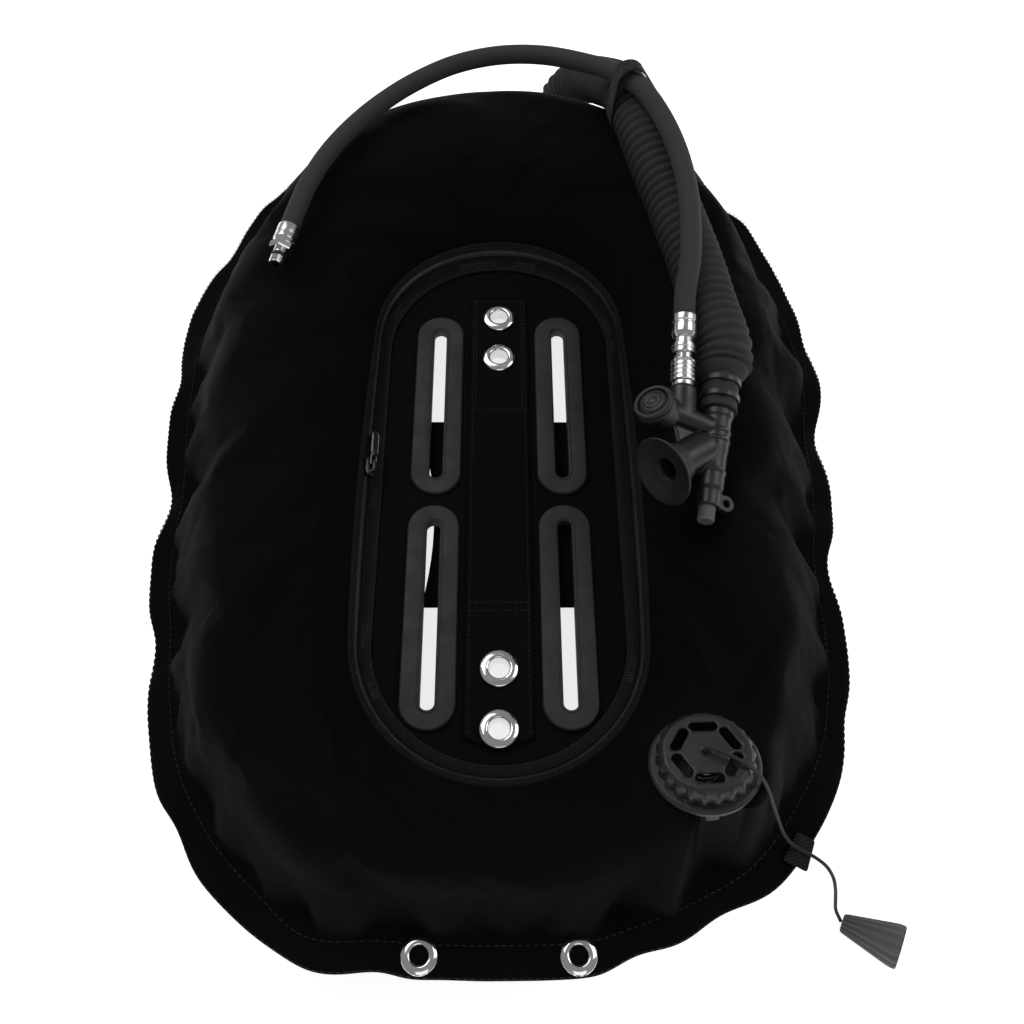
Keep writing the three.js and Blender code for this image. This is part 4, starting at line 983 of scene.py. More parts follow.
class Workshop:
    """Puts finished pieces on their bodies and keeps the list of them."""

    def __init__(self) -> None:
        """Starts with no pieces."""
        self.pieces: list[bpy.types.Object] = []

    def deliver(self, piece: bpy.types.Object, slot: Slot, replaces: tuple[str, ...] = (),
                body: Body = Body.ROOT) -> bpy.types.Object:
        """Puts a piece on a body, in place of solids.

        Args:
            piece: the finished object.
            slot: the record's slot; not used.
            replaces: the solids that it stands for.
            body: what it rides on.

        Returns:
            The same object.
        """
        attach(piece, body.value)
        if replaces:
            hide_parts(*replaces)
        self.pieces.append(piece)
        log.info("piece %s: %d faces on %s", piece.name, len(piece.data.polygons), body.value)
        return piece

    def stand_in(self, solid: str, shape: Surface, finish: Finish, slot: Slot, sharp: float = 35.0,
                 body: Body = Body.ROOT) -> bpy.types.Object:
        """Delivers a surface in place of a solid; edges that turn by more than sharp stay crisp."""
        piece = shape.shown(solid + "_look", finish.material(), sharp)
        return self.deliver(piece, slot, (solid,), body)

    def extra(self, name: str, shapes: list[Surface], finish: Finish, slot: Slot) -> None:
        """Delivers surfaces as one piece that stands for no solid, such as rows of stitches."""
        self.deliver(Surface.join(shapes).shown(name, finish.material()), slot)

    def turned_piece(self, name: str, profile: Profile, base: np.ndarray, way: np.ndarray,
                     finish: Finish, slot: Slot, soft: float = 0.3, closed: bool = True,
                     segments: int = 64, body: Body = Body.ROOT,
                     ripple: tuple[int, float] = (0, 0.0)) -> bpy.types.Object:
        """Makes and delivers a body of revolution with rounded corners.

        Args:
            name: the solid's name.
            profile: (radius, height) pairs in millimetres.
            base: where height 0 is, in metres.
            way: the axis.
            finish: what it is dressed in.
            slot: the record's slot.
            soft: how far the corners are cut, in millimetres.
            closed: whether the profile closes on itself.
            segments: points round it.
            body: what it rides on.
            ripple: ribs up its sides and their height.

        Returns:
            The delivered object.
        """
        outline = rounded(profile, soft, closed=closed)
        shape = turned(outline, segments, closed, ripple).placed(basis(way), base)
        return self.stand_in(name, shape, finish, slot, 50, body)

    def coil(self, name: str, radius: float, wire: float, low: float, high: float, turns: int,
             base: np.ndarray, way: np.ndarray) -> None:
        """A wire spring: the line is r cos a, r sin a and a height that rises evenly with a.

        Args:
            name: the solid's name.
            radius: of the coil, in millimetres.
            wire: radius of the wire.
            low: height of its first turn.
            high: height of its last turn.
            turns: how many.
            base: where height 0 is, in metres.
            way: the axis.
        """
        angle = np.linspace(0, 2 * math.pi * turns, turns * 40 + 1)
        line = np.stack([radius * np.cos(angle), radius * np.sin(angle),
                         np.linspace(low, high, len(angle))], 1) * MM
        self.stand_in(name, tube(line, wire * MM, UP, 10).placed(basis(way), base), STEEL, Slot.STEEL)


# ---------------------------------------------------------------- camera, light and floor


@dataclass(frozen=True)
class Studio:
    """A pale floor, soft light from above and both sides, and the camera."""

    eye: Place = (0.0, -0.3975, 0.623)
    tilt: float = 30.5
    lens: float = 35.16
    shift: float = 0.0127
    floor_size: float = 14.0
    floor_height: float = -0.0004
    floor_glow: float = 0.80
    sky: float = 0.24

    def build(self) -> None:
        """Makes the camera, the floor, the lamps and the world."""
        scene = bpy.context.scene
        camera = bpy.data.objects.new("camera", bpy.data.cameras.new("camera"))
        camera.data.lens = self.lens
        camera.data.sensor_width = 36.0
        camera.data.shift_x = self.shift
        camera.data.clip_start = 0.01
        camera.location = self.eye
        camera.rotation_euler = (math.radians(self.tilt), 0.0, 0.0)
        scene.collection.objects.link(camera)
        scene.camera = camera
        self.floor()
        self.lamp("key", (-0.9, 0.9, 1.7), 1.3, 14.0)
        self.lamp("fill", (1.3, 0.2, 1.3), 1.0, 7.0)
        self.lamp("front", (0.2, -1.7, 1.0), 1.2, 4.0)
        world = bpy.data.worlds.new("studio")
        world.use_nodes = True
        background = world.node_tree.nodes["Background"]
        background.inputs["Color"].default_value = (1.0, 1.0, 1.0, 1.0)
        background.inputs["Strength"].default_value = self.sky
        scene.world = world
        scene.view_settings.view_transform = "Standard"

    def floor(self) -> None:
        """A big pale sheet under the wing, with a faint light of its own as on a light table."""
        half, z = self.floor_size / 2, self.floor_height
        corners = np.array([[[x, y, z] for x in (-half, half)] for y in (-half, half)])
        material = bpy.data.materials.new("floor")
        material.use_nodes = True
        shader = material.node_tree.nodes["Principled BSDF"]
        shader.inputs["Base Color"].default_value = (0.86, 0.86, 0.86, 1.0)
        shader.inputs["Roughness"].default_value = 0.8
        shader.inputs["Emission Color"].default_value = (1.0, 1.0, 1.0, 1.0)
        shader.inputs["Emission Strength"].default_value = self.floor_glow
        sheet = grid(corners, around=False)
        if sheet.points[sheet.quads[0, 1], 0] < 0:
            sheet.quads = sheet.quads[:, ::-1]
        floor = sheet.shown("floor", material)

    def lamp(self, name: str, place: Place, size: float, power: float) -> None:
        """A soft square lamp that faces the middle of the wing.

        Args:
            name: its name.
            place: where it stands, in metres.
            size: its side, in metres.
            power: in watts.
        """
        light = bpy.data.lights.new(name, "AREA")
        light.size = size
        light.energy = power
        lamp = bpy.data.objects.new(name, light)
        lamp.location = place
        aim = Vector((0.0, 0.0, 0.05)) - Vector(place)
        lamp.rotation_euler = aim.to_track_quat("-Z", "Y").to_euler()
        bpy.context.scene.collection.objects.link(lamp)


# ---------------------------------------------------------------- hoses and cords

CORRUGATED_ROUTE = [
    [42, 341, 20], [45.5, 360, 21.5], [51, 375, 31], [60, 378, 46], [71, 367, 63], [80, 345, 81],
    [87, 316, 100], [92, 286, 118.5], [96, 257, 132.6], [100, 229, 139.6], [104.5, 202, 140.3],
    [112, 169.5, 137.4], [119, 143, 135.2], [124, 119, 133.8], [129, 95, 132.8], [133, 70, 132],
    [136.5, 44, 131.4], [140, 22, 131.6], [141.2, 10, 130.7], [139.9, -2, 128.9],
]
LP_ROUTE = [
    [115.4, 23, 148.4], [116.6, 38, 152.1], [121, 61, 158.3], [123.6, 88, 161.3], [124.5, 122, 162.5],
    [121, 159.5, 163], [112.5, 192, 165], [100.6, 219.2, 166], [84.4, 244.3, 160.5],
    [60.2, 267.2, 153], [30.9, 282.4, 148], [-0.8, 287.5, 144], [-33.4, 282.4, 140],
    [-63.4, 265.8, 137], [-88.8, 243.6, 134.5], [-109.6, 218.8, 132], [-125.8, 190, 130.5],
    [-135.5, 162, 130], [-141, 137.6, 129.5], [-144.4, 119.8, 129],
]
CORD_ROUTE = [
    [105.4, -245.6, 121], [105, -244.1, 126.8], [110.5, -246.2, 130.6], [119, -250.6, 130.9],
    [126.4, -255, 129.4], [132, -259, 124.2], [136.8, -262.4, 114], [141.5, -265, 101],
    [146.5, -267, 87], [151, -269.4, 74.5], [156, -272.5, 63], [161, -275.5, 56.5],
    [166.5, -278.5, 54.4], [173, -282, 54], [179, -286, 52], [184.5, -290.5, 44.5],
    [188.5, -295, 33], [191.5, -299, 20.5], [194, -303, 10.5], [197.2, -308, 5.9],
]


@dataclass
class Inflator:
    """The power inflator: its own axes, its moulded body and all the pieces in it."""

    shop: Workshop
    origin: np.ndarray = field(default_factory=lambda: np.array([132.0, -46.0, 123.0]) * MM)
    barrel_top: float = 13.0
    tail_low: float = -52.0
    barrel_low: float = -15.0
    button_radius: float = 9.2
    mouth_length: float = 32.0
    sleeve_travel: float = 4.0

    def __post_init__(self) -> None:
        """Works out the axes: up the barrel, right of it made square to up, and out."""
        up = unit(np.array([0.1845, 0.9765, 0.112]))
        right = np.array([0.906, -0.16, -0.4226])
        right = unit(right - right @ up * up)
        self.rows = np.stack([right, up, np.cross(right, up)])
        self.button_way = self.way(-0.8, 0.1, 0.59)
        self.nipple_way = self.way(-0.15, 0.985, 0.07)
        self.mouth_way = self.way(-0.71, -0.7, 0)
        self.button_seat = self.at(-46, 0, 3)
        self.nipple_base = self.at(-25, 8, 0)
        self.mouth_start = self.at(-6, -14, 0)

    def at(self, x: float, y: float, z: float) -> np.ndarray:
        """A point given in the inflator's own axes, in millimetres, as a place in metres."""
        return np.array([x, y, z]) * MM @ self.rows + self.origin

    def way(self, x: float, y: float, z: float) -> np.ndarray:
        """A direction given in the inflator's own axes, as a unit direction."""
        return unit(np.array([x, y, z]) @ self.rows)

    def build(self) -> None:
        """Makes every piece of the inflator."""
        self.body()
        self.inflate_side()
        self.deflate_side()
        self.mouth()
        self.coupling()

    def body(self) -> None:
        """The moulded body: barrel, cross tube, button cup, hose boss, mouth tube, web and lug."""
        low, high, tail = self.barrel_low, self.barrel_top, self.tail_low
        up = self.rows[1]
        barrel = spun([
            (0, tail + 9), (5.5, tail + 9), (5.5, tail), (7.2, tail), (7.2, tail + 10),
            (8.4, tail + 12), (8.4, low - 2), (8.9, low), (8.9, high - 6), (9.8, high - 4.5),
            (9.8, high), (0, high),
        ], up, self.origin, 0.5)
        bands = [turned(rounded([(r - 1, y), (r, y), (r, y + 1.6), (r - 1, y + 1.6)], 0.3), 64)
                 .placed(basis(up), self.origin) for r, y in ((9.5, -9.0), (9.5, -3.0), (9.1, -30.0))]
        cross = spun([(0, 0), (7.2, 0), (7.2, 40), (0, 40)], self.way(-1, 0, 0.02),
                     self.at(0, 0, 0), 0.6, 48)
        cup_base = self.button_seat - 18 * MM * self.button_way
        cup = spun([
            (0, 0), (9, 0), (12.6, 5), (12.8, 16.5), (12, 17.3), (9.6, 17.3), (9.6, 9), (0, 9),
        ], self.button_way, cup_base, 0.6)
        boss = spun([(0, -8), (8.4, -8), (8.4, 10), (7.6, 12), (0, 12)], self.nipple_way,
                    self.nipple_base, 0.5, 48)
        mouth = spun([(0, 0), (11, 0), (11, self.mouth_length), (7, self.mouth_length), (7, 8),
                      (0, 8)], self.mouth_way, self.mouth_start, 0.5)
        parts = [barrel, *bands, cross, cup, boss, mouth, self.web(), self.lug()]
        piece = fused("inflator_body_look", parts, PLASTIC.material(), 0.00055, 3)
        self.shop.deliver(piece, Slot.PLASTIC, ("inflator_body", "mouth_tube"))

    def web(self) -> Surface:
        """The flat web between the tubes, with a thicker border rib."""
        corners = np.array([[-4, 0], [-34, -2], [-24, -24], [-4, -16]], float)
        line = evenly(corners, 0.9, closed=True)
        middle = line.mean(0)
        line = middle + 0.975 * (line - middle)
        rings = [np.column_stack([line * s + middle * (1 - s), np.full(len(line), z)])
                 for s, z in ((0.02, 1.3), (0.8, 1.3), (0.86, 2.1), (1, 2.0), (1, -2.0), (0.86, -2.1),
                              (0.8, -1.3), (0.02, -1.3))]
        return grid(np.array(rings) * MM, poles=(True, True)).placed(self.rows, self.origin)

    def lug(self) -> Surface:
        """The flat ear at the tail: a ring round its hole that runs into the barrel."""
        ear = turned(rounded([(2.2, -2.5), (2.2, 2.5), (5.4, 2.5), (5.4, -2.5)], 0.5), 48)
        middle = self.at(11.4, self.tail_low + 6, 0)
        ear = ear.placed(self.rows, middle)
        section = np.array([[-5.0, -2.4], [5.0, -2.4], [5.0, 2.4], [-5.0, 2.4]]) * MM
        line = np.linspace(self.at(3.5, self.tail_low + 6, 0), self.at(8.6, self.tail_low + 6, 0), 8)
        bridge = swept(section, line, self.rows[2])
        return Surface.join([ear, bridge])

    def inflate_side(self) -> None:
        """The ribbed inflate button in its cup, its stem, spring and guard ring."""
        seat, way = self.button_seat, self.button_way
        r = self.button_radius
        self.shop.turned_piece("inflate_button", [
            (0, -4.2), (r, -4.2), (r, 1.2), (r - 1.5, 2.4), (6.3, 2.9), (6.0, 2.3), (5.2, 2.3),
            (4.9, 3.0), (3.1, 3.0), (2.8, 2.4), (2.0, 2.4), (1.7, 3.0), (0, 3.0),
        ], seat, way, PLASTIC, Slot.PLASTIC, 0.3, closed=False, body=Body.INFLATE)
        self.shop.turned_piece("inflate_valve_stem", [(0, -13), (1.4, -13), (1.4, -4.5), (0, -4.5)],
                               seat, way, STEEL, Slot.STEEL, 0.2, closed=False, body=Body.INFLATE,
                               segments=24)
        self.shop.turned_piece("button_guard_ring", [
            (r + 0.3, -0.4), (r + 0.3, 2.2), (11.6, 2.2), (12.4, 1), (12.4, -0.4),
        ], seat, way, MOUTH_RUBBER, Slot.RUBBER, 0.4)
        self.shop.coil("inflate_spring", 2.6, 0.4, -9.5, -4.9, 3, seat, way)

    def deflate_side(self) -> None:
        """The deflate button under the tail, its rod, seal and spring."""
        up, low, tail = self.rows[1], self.barrel_low, self.tail_low
        knurl = [(4.6 if k % 2 else 5.2, tail - 7.6 + 0.8 * k) for k in range(9)]
        self.shop.turned_piece("deflate_button", [
            (0, tail - 9), (4.6, tail - 9), *knurl, (5.2, tail + 3), (1.3, tail + 3),
            (1.3, low - 0.7), (0, low - 0.7),
        ], self.origin, up, KNOB_PLASTIC, Slot.PLASTIC, 0.15, closed=False, body=Body.DEFLATE)
        self.shop.turned_piece("exhaust_seal", [
            (0, low - 0.4), (4.8, low - 0.4), (4.8, low + 1.5), (0, low + 1.5),
        ], self.origin, up, MOUTH_RUBBER, Slot.RUBBER, 0.3, closed=False, body=Body.DEFLATE)
        self.shop.coil("deflate_spring", 3.6, 0.45, tail + 3.8, tail + 8.2, 2, self.origin, up)

    def mouth(self) -> None:
        """The rubber mouthpiece: a sleeve on the slanted tube and a dished oval flange."""
        end = self.mouth_start + self.mouth_length * MM * self.mouth_way
        profile = rounded([
            (11.3, -9), (12.6, -9), (12.9, -5), (12.9, -1.5), (15, 0.6), (19.6, 2.6), (21.6, 4.6),
            (21.2, 5.8), (19.6, 5.4), (12, 2.4), (8.2, 1.6), (7, 1.4), (7, 0.3), (11.3, 0.3),
        ], 0.7)
        shape = turned(profile, 72).placed(basis(self.mouth_way), end)
        self.shop.stand_in("mouthpiece", shape, MOUTH_RUBBER, Slot.RUBBER, 60)

    def coupling(self) -> None:
        """Nipple, coupler body with its flats, and the ribbed sleeve that slides on it."""
        base, way = self.nipple_base, self.nipple_way
        self.shop.turned_piece("hose_nipple", [
            (1.6, -1.5), (1.6, 26), (3.4, 26), (3.4, 15), (6.6, 15), (6.6, 12.3), (4.3, 12.3),
            (4.3, -1.5),
        ], base, way, STEEL, Slot.STEEL, 0.2)
        self.shop.turned_piece("coupler_body", [
            (3.7, 15.3), (3.7, 26.3), (1.8, 26.3), (1.8, 44), (6.2, 44), (6.2, 40), (7.4, 40),
            (7.4, 37.6), (7.0, 37.3), (7.0, 36.6), (7.4, 36.3), (7.4, 34), (5.4, 34), (5.4, 15.3),
        ], base, way, STEEL, Slot.STEEL, 0.18)
        low, high = 15.3, 34 - 0.3 - self.sleeve_travel
        ribs = [(r, low + 0.6 + 3 * k + z) for k in range(4)
                for r, z in ((7.7, 0), (7.7, 1.5), (7.05, 1.8), (7.05, 2.7))]
        self.shop.turned_piece("coupler_sleeve", [
            (5.7, low), (7.4, low), *ribs, (7.7, high - 1), (7.4, high), (5.7, high),
        ], base, way, STEEL, Slot.STEEL, 0.18, body=Body.SLEEVE)


@dataclass
class Hoses:
    """The corrugated hose, the pressure hose, their ends, ties and keeper."""

    shop: Workshop
    inflator: Inflator
    corrugated_radius: float = 0.0185
    rib_pitch: float = 0.0073
    rib_depth: float = 0.0026
    jacket_radius: float = 0.00675

    def build(self) -> None:
        """Makes both hoses and what is on them."""
        ends = self.pressure_ends()
        self.corrugated()
        self.pressure(ends)
        self.keeper()

    def corrugated(self) -> None:
        """The big hose: its radius falls between ribs by the 0.7th power of a cosine's share."""
        line = smooth_path(CORRUGATED_ROUTE, 0.0008)
        way = np.arange(len(line)) * np.linalg.norm(np.diff(line, axis=0), axis=1).mean()
        share = (0.5 - 0.5 * np.cos(2 * math.pi * way / self.rib_pitch)) ** 0.7
        radius = self.corrugated_radius - self.rib_depth * (1 - share)
        piece = self.shop.stand_in("corrugated_hose", tube(line, radius, EAST, 56), HOSE_RUBBER,
                                   Slot.HOSE, 180)
        pieces = [self.cuff(line[-1]), *self.ties(line[-1])]

    def cuff_frame(self, end: np.ndarray) -> tuple[np.ndarray, np.ndarray, float]:
        """Where the cuff starts, which way it runs and how long it is, in millimetres."""
        start = self.inflator.at(0, self.inflator.barrel_top, 0)
        way = end - start
        return start, unit(way), float(np.linalg.norm(way)) / MM

    def cuff(self, end: np.ndarray) -> bpy.types.Object:
        """The smooth rubber cuff between the last rib and the inflator's collar."""
        start, way, size = self.cuff_frame(end)
        return self.shop.turned_piece("hose_cuff", [
            (8, 0.6), (8, size - 1.3), (16.4, size - 1.3), (15.4, size - 4), (12.0, size - 8),
            (11.2, size - 9), (11.2, 2), (11.8, 1.8), (11.8, 0.6),
        ], start, way, HOSE_RUBBER, Slot.RUBBER, 0.8)

    def ties(self, end: np.ndarray) -> list[bpy.types.Object]:
        """Two cable ties round the cuff, each a flat band with a small head."""
        start, way, size = self.cuff_frame(end)
        made = []
        for number, share in ((1, 0.28), (2, 0.62)):
            middle = size * share
            band = turned(rounded([(11.3, middle - 1.9), (11.3, middle + 1.9), (12.5, middle + 1.9),
                                   (12.5, middle - 1.9)], 0.3), 72)
            head = swept(np.array([[-2.3, -2.6], [2.3, -2.6], [2.3, 2.6], [-2.3, 2.6]]) * MM,
                         np.array([[x, 0, middle] for x in (11.4, 12.4, 13.4)]) * MM, UP)
            shape = Surface.join([band, head]).placed(basis(way), start)
            made.append(self.shop.stand_in(f"cuff_tie_{number}", shape, PLASTIC, Slot.PLASTIC))
        return made

    def pressure(self, ends: list[bpy.types.Object]) -> None:
        """The thin hose: a round tube in a braided jacket."""
        line = smooth_path(LP_ROUTE, 0.002)
        piece = self.shop.stand_in("lp_hose", tube(line, self.jacket_radius, UP, 40), JACKET,
                                   Slot.JACKET, 180)
        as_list(ends)

    def pressure_ends(self) -> list[bpy.types.Object]:
        """Ferrules at both ends, and the hexagon, thread and ring of the free end."""
        line = smooth_path(LP_ROUTE, 0.002)
        low = self.inflator.nipple_base + 44.3 * MM * self.inflator.nipple_way
        way = line[0] - low
        size = float(np.linalg.norm(way)) / MM
        made = [self.shop.turned_piece("inflator_end_ferrule", [
            (2, 0), (2, size - 0.3), (7.75, size - 0.3), (7.75, size * 0.72), (7.3, size * 0.69),
            (7.3, size * 0.62), (7.75, size * 0.59), (7.75, 3.4), (6.3, 0),
        ], low, way, STEEL, Slot.STEEL, 0.25)]
        end, ahead = line[-1], unit(line[-1] - line[-3])
        base = end + 0.3 * MM * ahead
        made.append(self.shop.turned_piece("free_end_ferrule", [
            (2, 0), (2, 15), (6, 15), (7.65, 12), (7.65, 8.2), (7.25, 7.8), (7.25, 6.8), (7.65, 6.4),
            (7.65, 0),
        ], base, ahead, STEEL, Slot.STEEL, 0.25))
        hexagon = turned([(2, 15.3), (7.6, 15.3), (8.4, 16.2), (8.4, 20.2), (7.6, 21), (2, 21)], 6)
        threads = [(r, 27.2 + 0.9 * k + z) for k in range(6) for r, z in ((4.75, 0.0), (4.2, 0.45))]
        stub = turned([(2, 20), (4.6, 20), (4.6, 24), (3.6, 24), (3.6, 27), *threads, (4.4, 33),
                       (2, 33)], 48)
        shape = Surface.join([hexagon, stub]).placed(basis(ahead), base)
        made.append(self.shop.stand_in("free_end_fitting", shape, CHROME, Slot.CHROME, 30))
        made.append(self.shop.turned_piece("free_end_ring", [
            (3.9, 24.6), (3.9, 26.4), (4.4, 26.5), (5.1, 26), (5.1, 25), (4.4, 24.5),
        ], base, ahead, MOUTH_RUBBER, Slot.RUBBER, 0.2))
        return made

    def keeper(self) -> None:
        """The webbing keeper: a belt round both hoses, bulging at its middle, with stitched ends."""
        thin = smooth_path(LP_ROUTE, 0.001)
        middle = np.array(CORRUGATED_ROUTE[9]) * MM
        other = thin[np.linalg.norm(thin - middle, axis=1).argmin()]
        way = unit(np.array(CORRUGATED_ROUTE[10]) - np.array(CORRUGATED_ROUTE[8]))
        across = other - middle
        across = across - across @ way * way
        reach, across = np.linalg.norm(across), unit(across)
        side = np.cross(way, across)
        big, small = self.corrugated_radius + 0.0011, self.jacket_radius + 0.0042
        lean = math.acos((big - small) / reach)
        near = np.linspace(-lean, lean, 24)
        far = np.linspace(lean, 2 * math.pi - lean, 48)
        centre = np.concatenate([np.full(24, reach), np.zeros(48)])[:, None]
        angle = np.concatenate([near, far])[:, None]
        radius = np.concatenate([np.full(24, small), np.full(48, big)])[:, None]
        belt = middle + across * (centre + radius * np.cos(angle)) + side * radius * np.sin(angle)
        belt = evenly(belt, 0.0015, closed=True)
        section = np.array([[-7.5, 0], [-7.3, 0.45], [7.3, 0.45], [7.5, 0], [7.3, -0.45],
                            [-7.3, -0.45]]) * MM
        shape = swept(section, belt, np.cross(way, np.gradient(belt, axis=0)), closed=True)
        self.shop.stand_in("keeper_strap", shape, WEBBING, Slot.STRAP, 50)
        top = belt[:14]
        out = unit(top - middle)
        rows = [stitches(top + way * x * MM + out * 0.0006, out) for x in (-6.0, 6.0)]
        self.shop.extra("keeper_strap_stitches", rows, THREAD, Slot.STRAP)


# ---------------------------------------------------------------- the ring of fabric


@dataclass(frozen=True)
class Crease:
    """One sunken fold of the cloth: where it starts at a seam and how it runs.

    Station and share say where: the station goes clockwise round the ring from the head, 0 to 1, and
    the share goes from the opening, 0, to the seam, 1.
    """

    station: float
    share: float
    reach: float
    slant: float
    width: float
    depth: float


@dataclass
class Ring:
    """The inflated ring: its outlines, its cloth, its sewn margin and the bladder inside."""

    shop: Workshop
    half_length: float = 0.344
    half_width: float = 0.226
    shoulder: float = 0.010
    margin: float = 0.018
    hem: float = 0.023
    head_fullness: float = 2.35
    foot_fullness: float = 3.3
    opening_radius: float = 0.082
    opening_half: float = 0.197
    opening_y: float = -0.036
    front_edge: float = 0.0495
    rear_edge: float = 0.0435
    seam_top: float = 0.05135
    seam_bottom: float = 0.04865
    loft: float = 0.020
    loft_per_width: float = 0.31
    crest_lean: float = 1.15
    foot_lean: float = 0.4
    rear_depth: float = 0.058
    shell_start: float = 0.012
    columns: int = 440
    front_rows: int = 46
    rear_rows: int = 34
    margin_rows: int = 9
    valve_seat: Place = (0.10627, -0.24808, 0.11092)
    valve_up: Place = (-0.080582, 0.241747, 0.966988)
    sways: tuple[tuple[float, float, float], ...] = (
        (0.805, 0.011, 0.05), (0.2075, 0.007, 0.03), (0.3109, -0.008, 0.035), (0.4039, -0.010, 0.035),
        (0.4465, -0.006, 0.02), (0.5862, -0.005, 0.03), (0.5573, 0.008, 0.014), (0.655, -0.004, 0.03),
    )
    pressure: float = 3.2
    frames: int = 14
    cap: float = 0.011

    def __post_init__(self) -> None:
        """Spaces the opening and the seam evenly and sets the folds."""
        self.opening, self.opening_out = self.opening_line(self.columns)
        inner = (self.half_width - self.margin, self.half_length - self.shoulder - self.margin,
                 self.half_length + self.shoulder - self.hem)
        outer = (self.half_width, self.half_length - self.shoulder, self.half_length + self.shoulder)
        sway = self.sway()[:, None]
        self.seam, self.edge = self.egg(*inner, self.columns), self.egg(*outer, self.columns)
        outward = unit(self.edge - self.seam)
        self.seam, self.edge = self.seam + outward * sway, self.edge + outward * sway
        self.random = np.random.default_rng(20)
        self.creases = self.folds()

    def egg(self, half_width: float, head: float, foot: float, count: int) -> np.ndarray:
        """An egg outline: x = w sign(s)|s|^p, y = l sign(c)|c|^p, with s, c the sine and cosine.

        Args:
            half_width: half its width.
            head: length from its widest line to the head.
            foot: length from there to the foot.
            count: how many even steps.

        Returns:
            Plan points from the head's middle, clockwise.
        """
        angle = np.linspace(0, 2 * math.pi, 4801)
        s, c = np.sin(angle), np.cos(angle)
        power = 2 / np.where(c >= 0, self.head_fullness, self.foot_fullness)
        x = half_width * np.sign(s) * np.abs(s) ** power
        y = self.shoulder + np.where(c >= 0, head, foot) * np.sign(c) * np.abs(c) ** power
        way = np.concatenate([[0], np.cumsum(np.hypot(np.diff(x), np.diff(y)))])
        wanted = np.linspace(0, way[-1], count + 1)[:-1]
        return np.stack([np.interp(wanted, way, x), np.interp(wanted, way, y)], 1)

    def sway(self) -> np.ndarray:
        """How far the slack ring leaves the even outline: a bell for each stretch, added up.

        Returns:
            Outward shifts in metres, one for each column.
        """
        station = np.arange(self.columns) / self.columns
        away = (station[:, None] - [s for s, _, _ in self.sways] + 0.5) % 1.0 - 0.5
        bells = np.exp(-(away / [w for _, _, w in self.sways]) ** 2)
        return bells @ [a for _, a, _ in self.sways]

    def opening_line(self, count: int) -> tuple[np.ndarray, np.ndarray]:
        """The opening: two half circles joined by straight sides, evenly spaced.

        Args:
            count: how many even steps.

        Returns:
            Plan points from the head's middle, clockwise, and their outward normals.
        """
        r, straight = self.opening_radius, self.opening_half - self.opening_radius
        quarter = math.pi / 2 * r
        length = 4 * quarter + 4 * straight
        k = np.arange(count)
        mirrored = 2 * k > count
        way = length * np.where(mirrored, count - k, k) / count
        side = np.where(mirrored, -1.0, 1.0)
        angle = np.where(way < quarter, way / r, np.maximum(way - 2 * straight, quarter) / r)
        middle = (way >= quarter) & (way <= quarter + 2 * straight)
        angle = np.where(middle, math.pi / 2, angle)
        centre = np.clip(straight - (way - quarter), -straight, straight)
        normal = np.stack([side * np.sin(angle), np.cos(angle)], 1)
        point = r * normal + np.stack([np.zeros(count), centre + self.opening_y], 1)
        return point, normal

    def face(self, side: Side, v: np.ndarray) -> np.ndarray:
        """The smooth face: a straight rise from edge to seam plus a crest.

        The crest is sin(pi v^lean)^0.8, times its loft in front and the rear depth behind, where it
        is cut off by the floor.

        Args:
            side: front or rear.
            v: shares of the way out, rows by columns.

        Returns:
            Points, rows by columns by 3.
        """
        v = np.broadcast_to(v, (len(v), self.columns))
        station = np.arange(self.columns) / self.columns
        width = np.linalg.norm(self.seam - self.opening, axis=1)
        lean = self.crest_lean + self.foot_lean * np.maximum(0, -np.cos(2 * math.pi * station)) ** 1.5
        full = np.sin(math.pi * np.clip(v, 0, 1) ** lean) ** 0.8
        plan = self.opening + (self.seam - self.opening) * v[..., None]
        if side is Side.FRONT:
            z = self.front_edge + (self.seam_top - self.front_edge) * v
            z = z + (self.loft + self.loft_per_width * width) * full
        else:
            z = self.rear_edge + (self.seam_bottom - self.rear_edge) * v - self.rear_depth * full
            z = np.maximum(z, 0.0006)
        return np.concatenate([plan, z[..., None]], 2)

    def folds(self) -> list[Crease]:
        """The deep folds at the puckers of the seam, then many small ones from the random draw."""
        made = [
            Crease(0.727, 1.0, 0.50, 0.14, 0.016, 0.0085), Crease(0.672, 1.0, 0.42, -0.16, 0.014, 0.0075),
            Crease(0.610, 1.0, 0.40, -0.10, 0.013, 0.0065), Crease(0.780, 1.0, 0.34, 0.10, 0.013, 0.006),
            Crease(0.845, 1.0, 0.30, 0.10, 0.012, 0.0045), Crease(0.245, 1.0, 0.55, -0.22, 0.016, 0.0085),
            Crease(0.300, 1.0, 0.50, -0.12, 0.015, 0.0085), Crease(0.200, 1.0, 0.36, 0.10, 0.013, 0.006),
            Crease(0.355, 1.0, 0.40, 0.12, 0.013, 0.006), Crease(0.432, 1.0, 0.60, 0.16, 0.017, 0.0105),
            Crease(0.462, 1.0, 0.46, -0.10, 0.014, 0.007), Crease(0.530, 1.0, 0.40, 0.14, 0.014, 0.006),
            Crease(0.560, 1.0, 0.44, -0.08, 0.014, 0.0065), Crease(0.120, 1.0, 0.30, 0.10, 0.012, 0.005),
            Crease(0.930, 1.0, 0.34, -0.10, 0.012, 0.005), Crease(0.050, 1.0, 0.30, 0.06, 0.012, 0.0045),
            Crease(0.497, 0.0, 0.34, 0.05, 0.016, 0.006), Crease(0.450, 0.0, 0.36, -0.1, 0.014, 0.006),
            Crease(0.545, 0.0, 0.36, 0.1, 0.014, 0.006), Crease(0.320, 0.0, 0.26, 0.1, 0.014, 0.004),
            Crease(0.680, 0.0, 0.26, -0.1, 0.014, 0.004), Crease(0.770, 0.0, 0.24, 0.12, 0.014, 0.004),
        ]
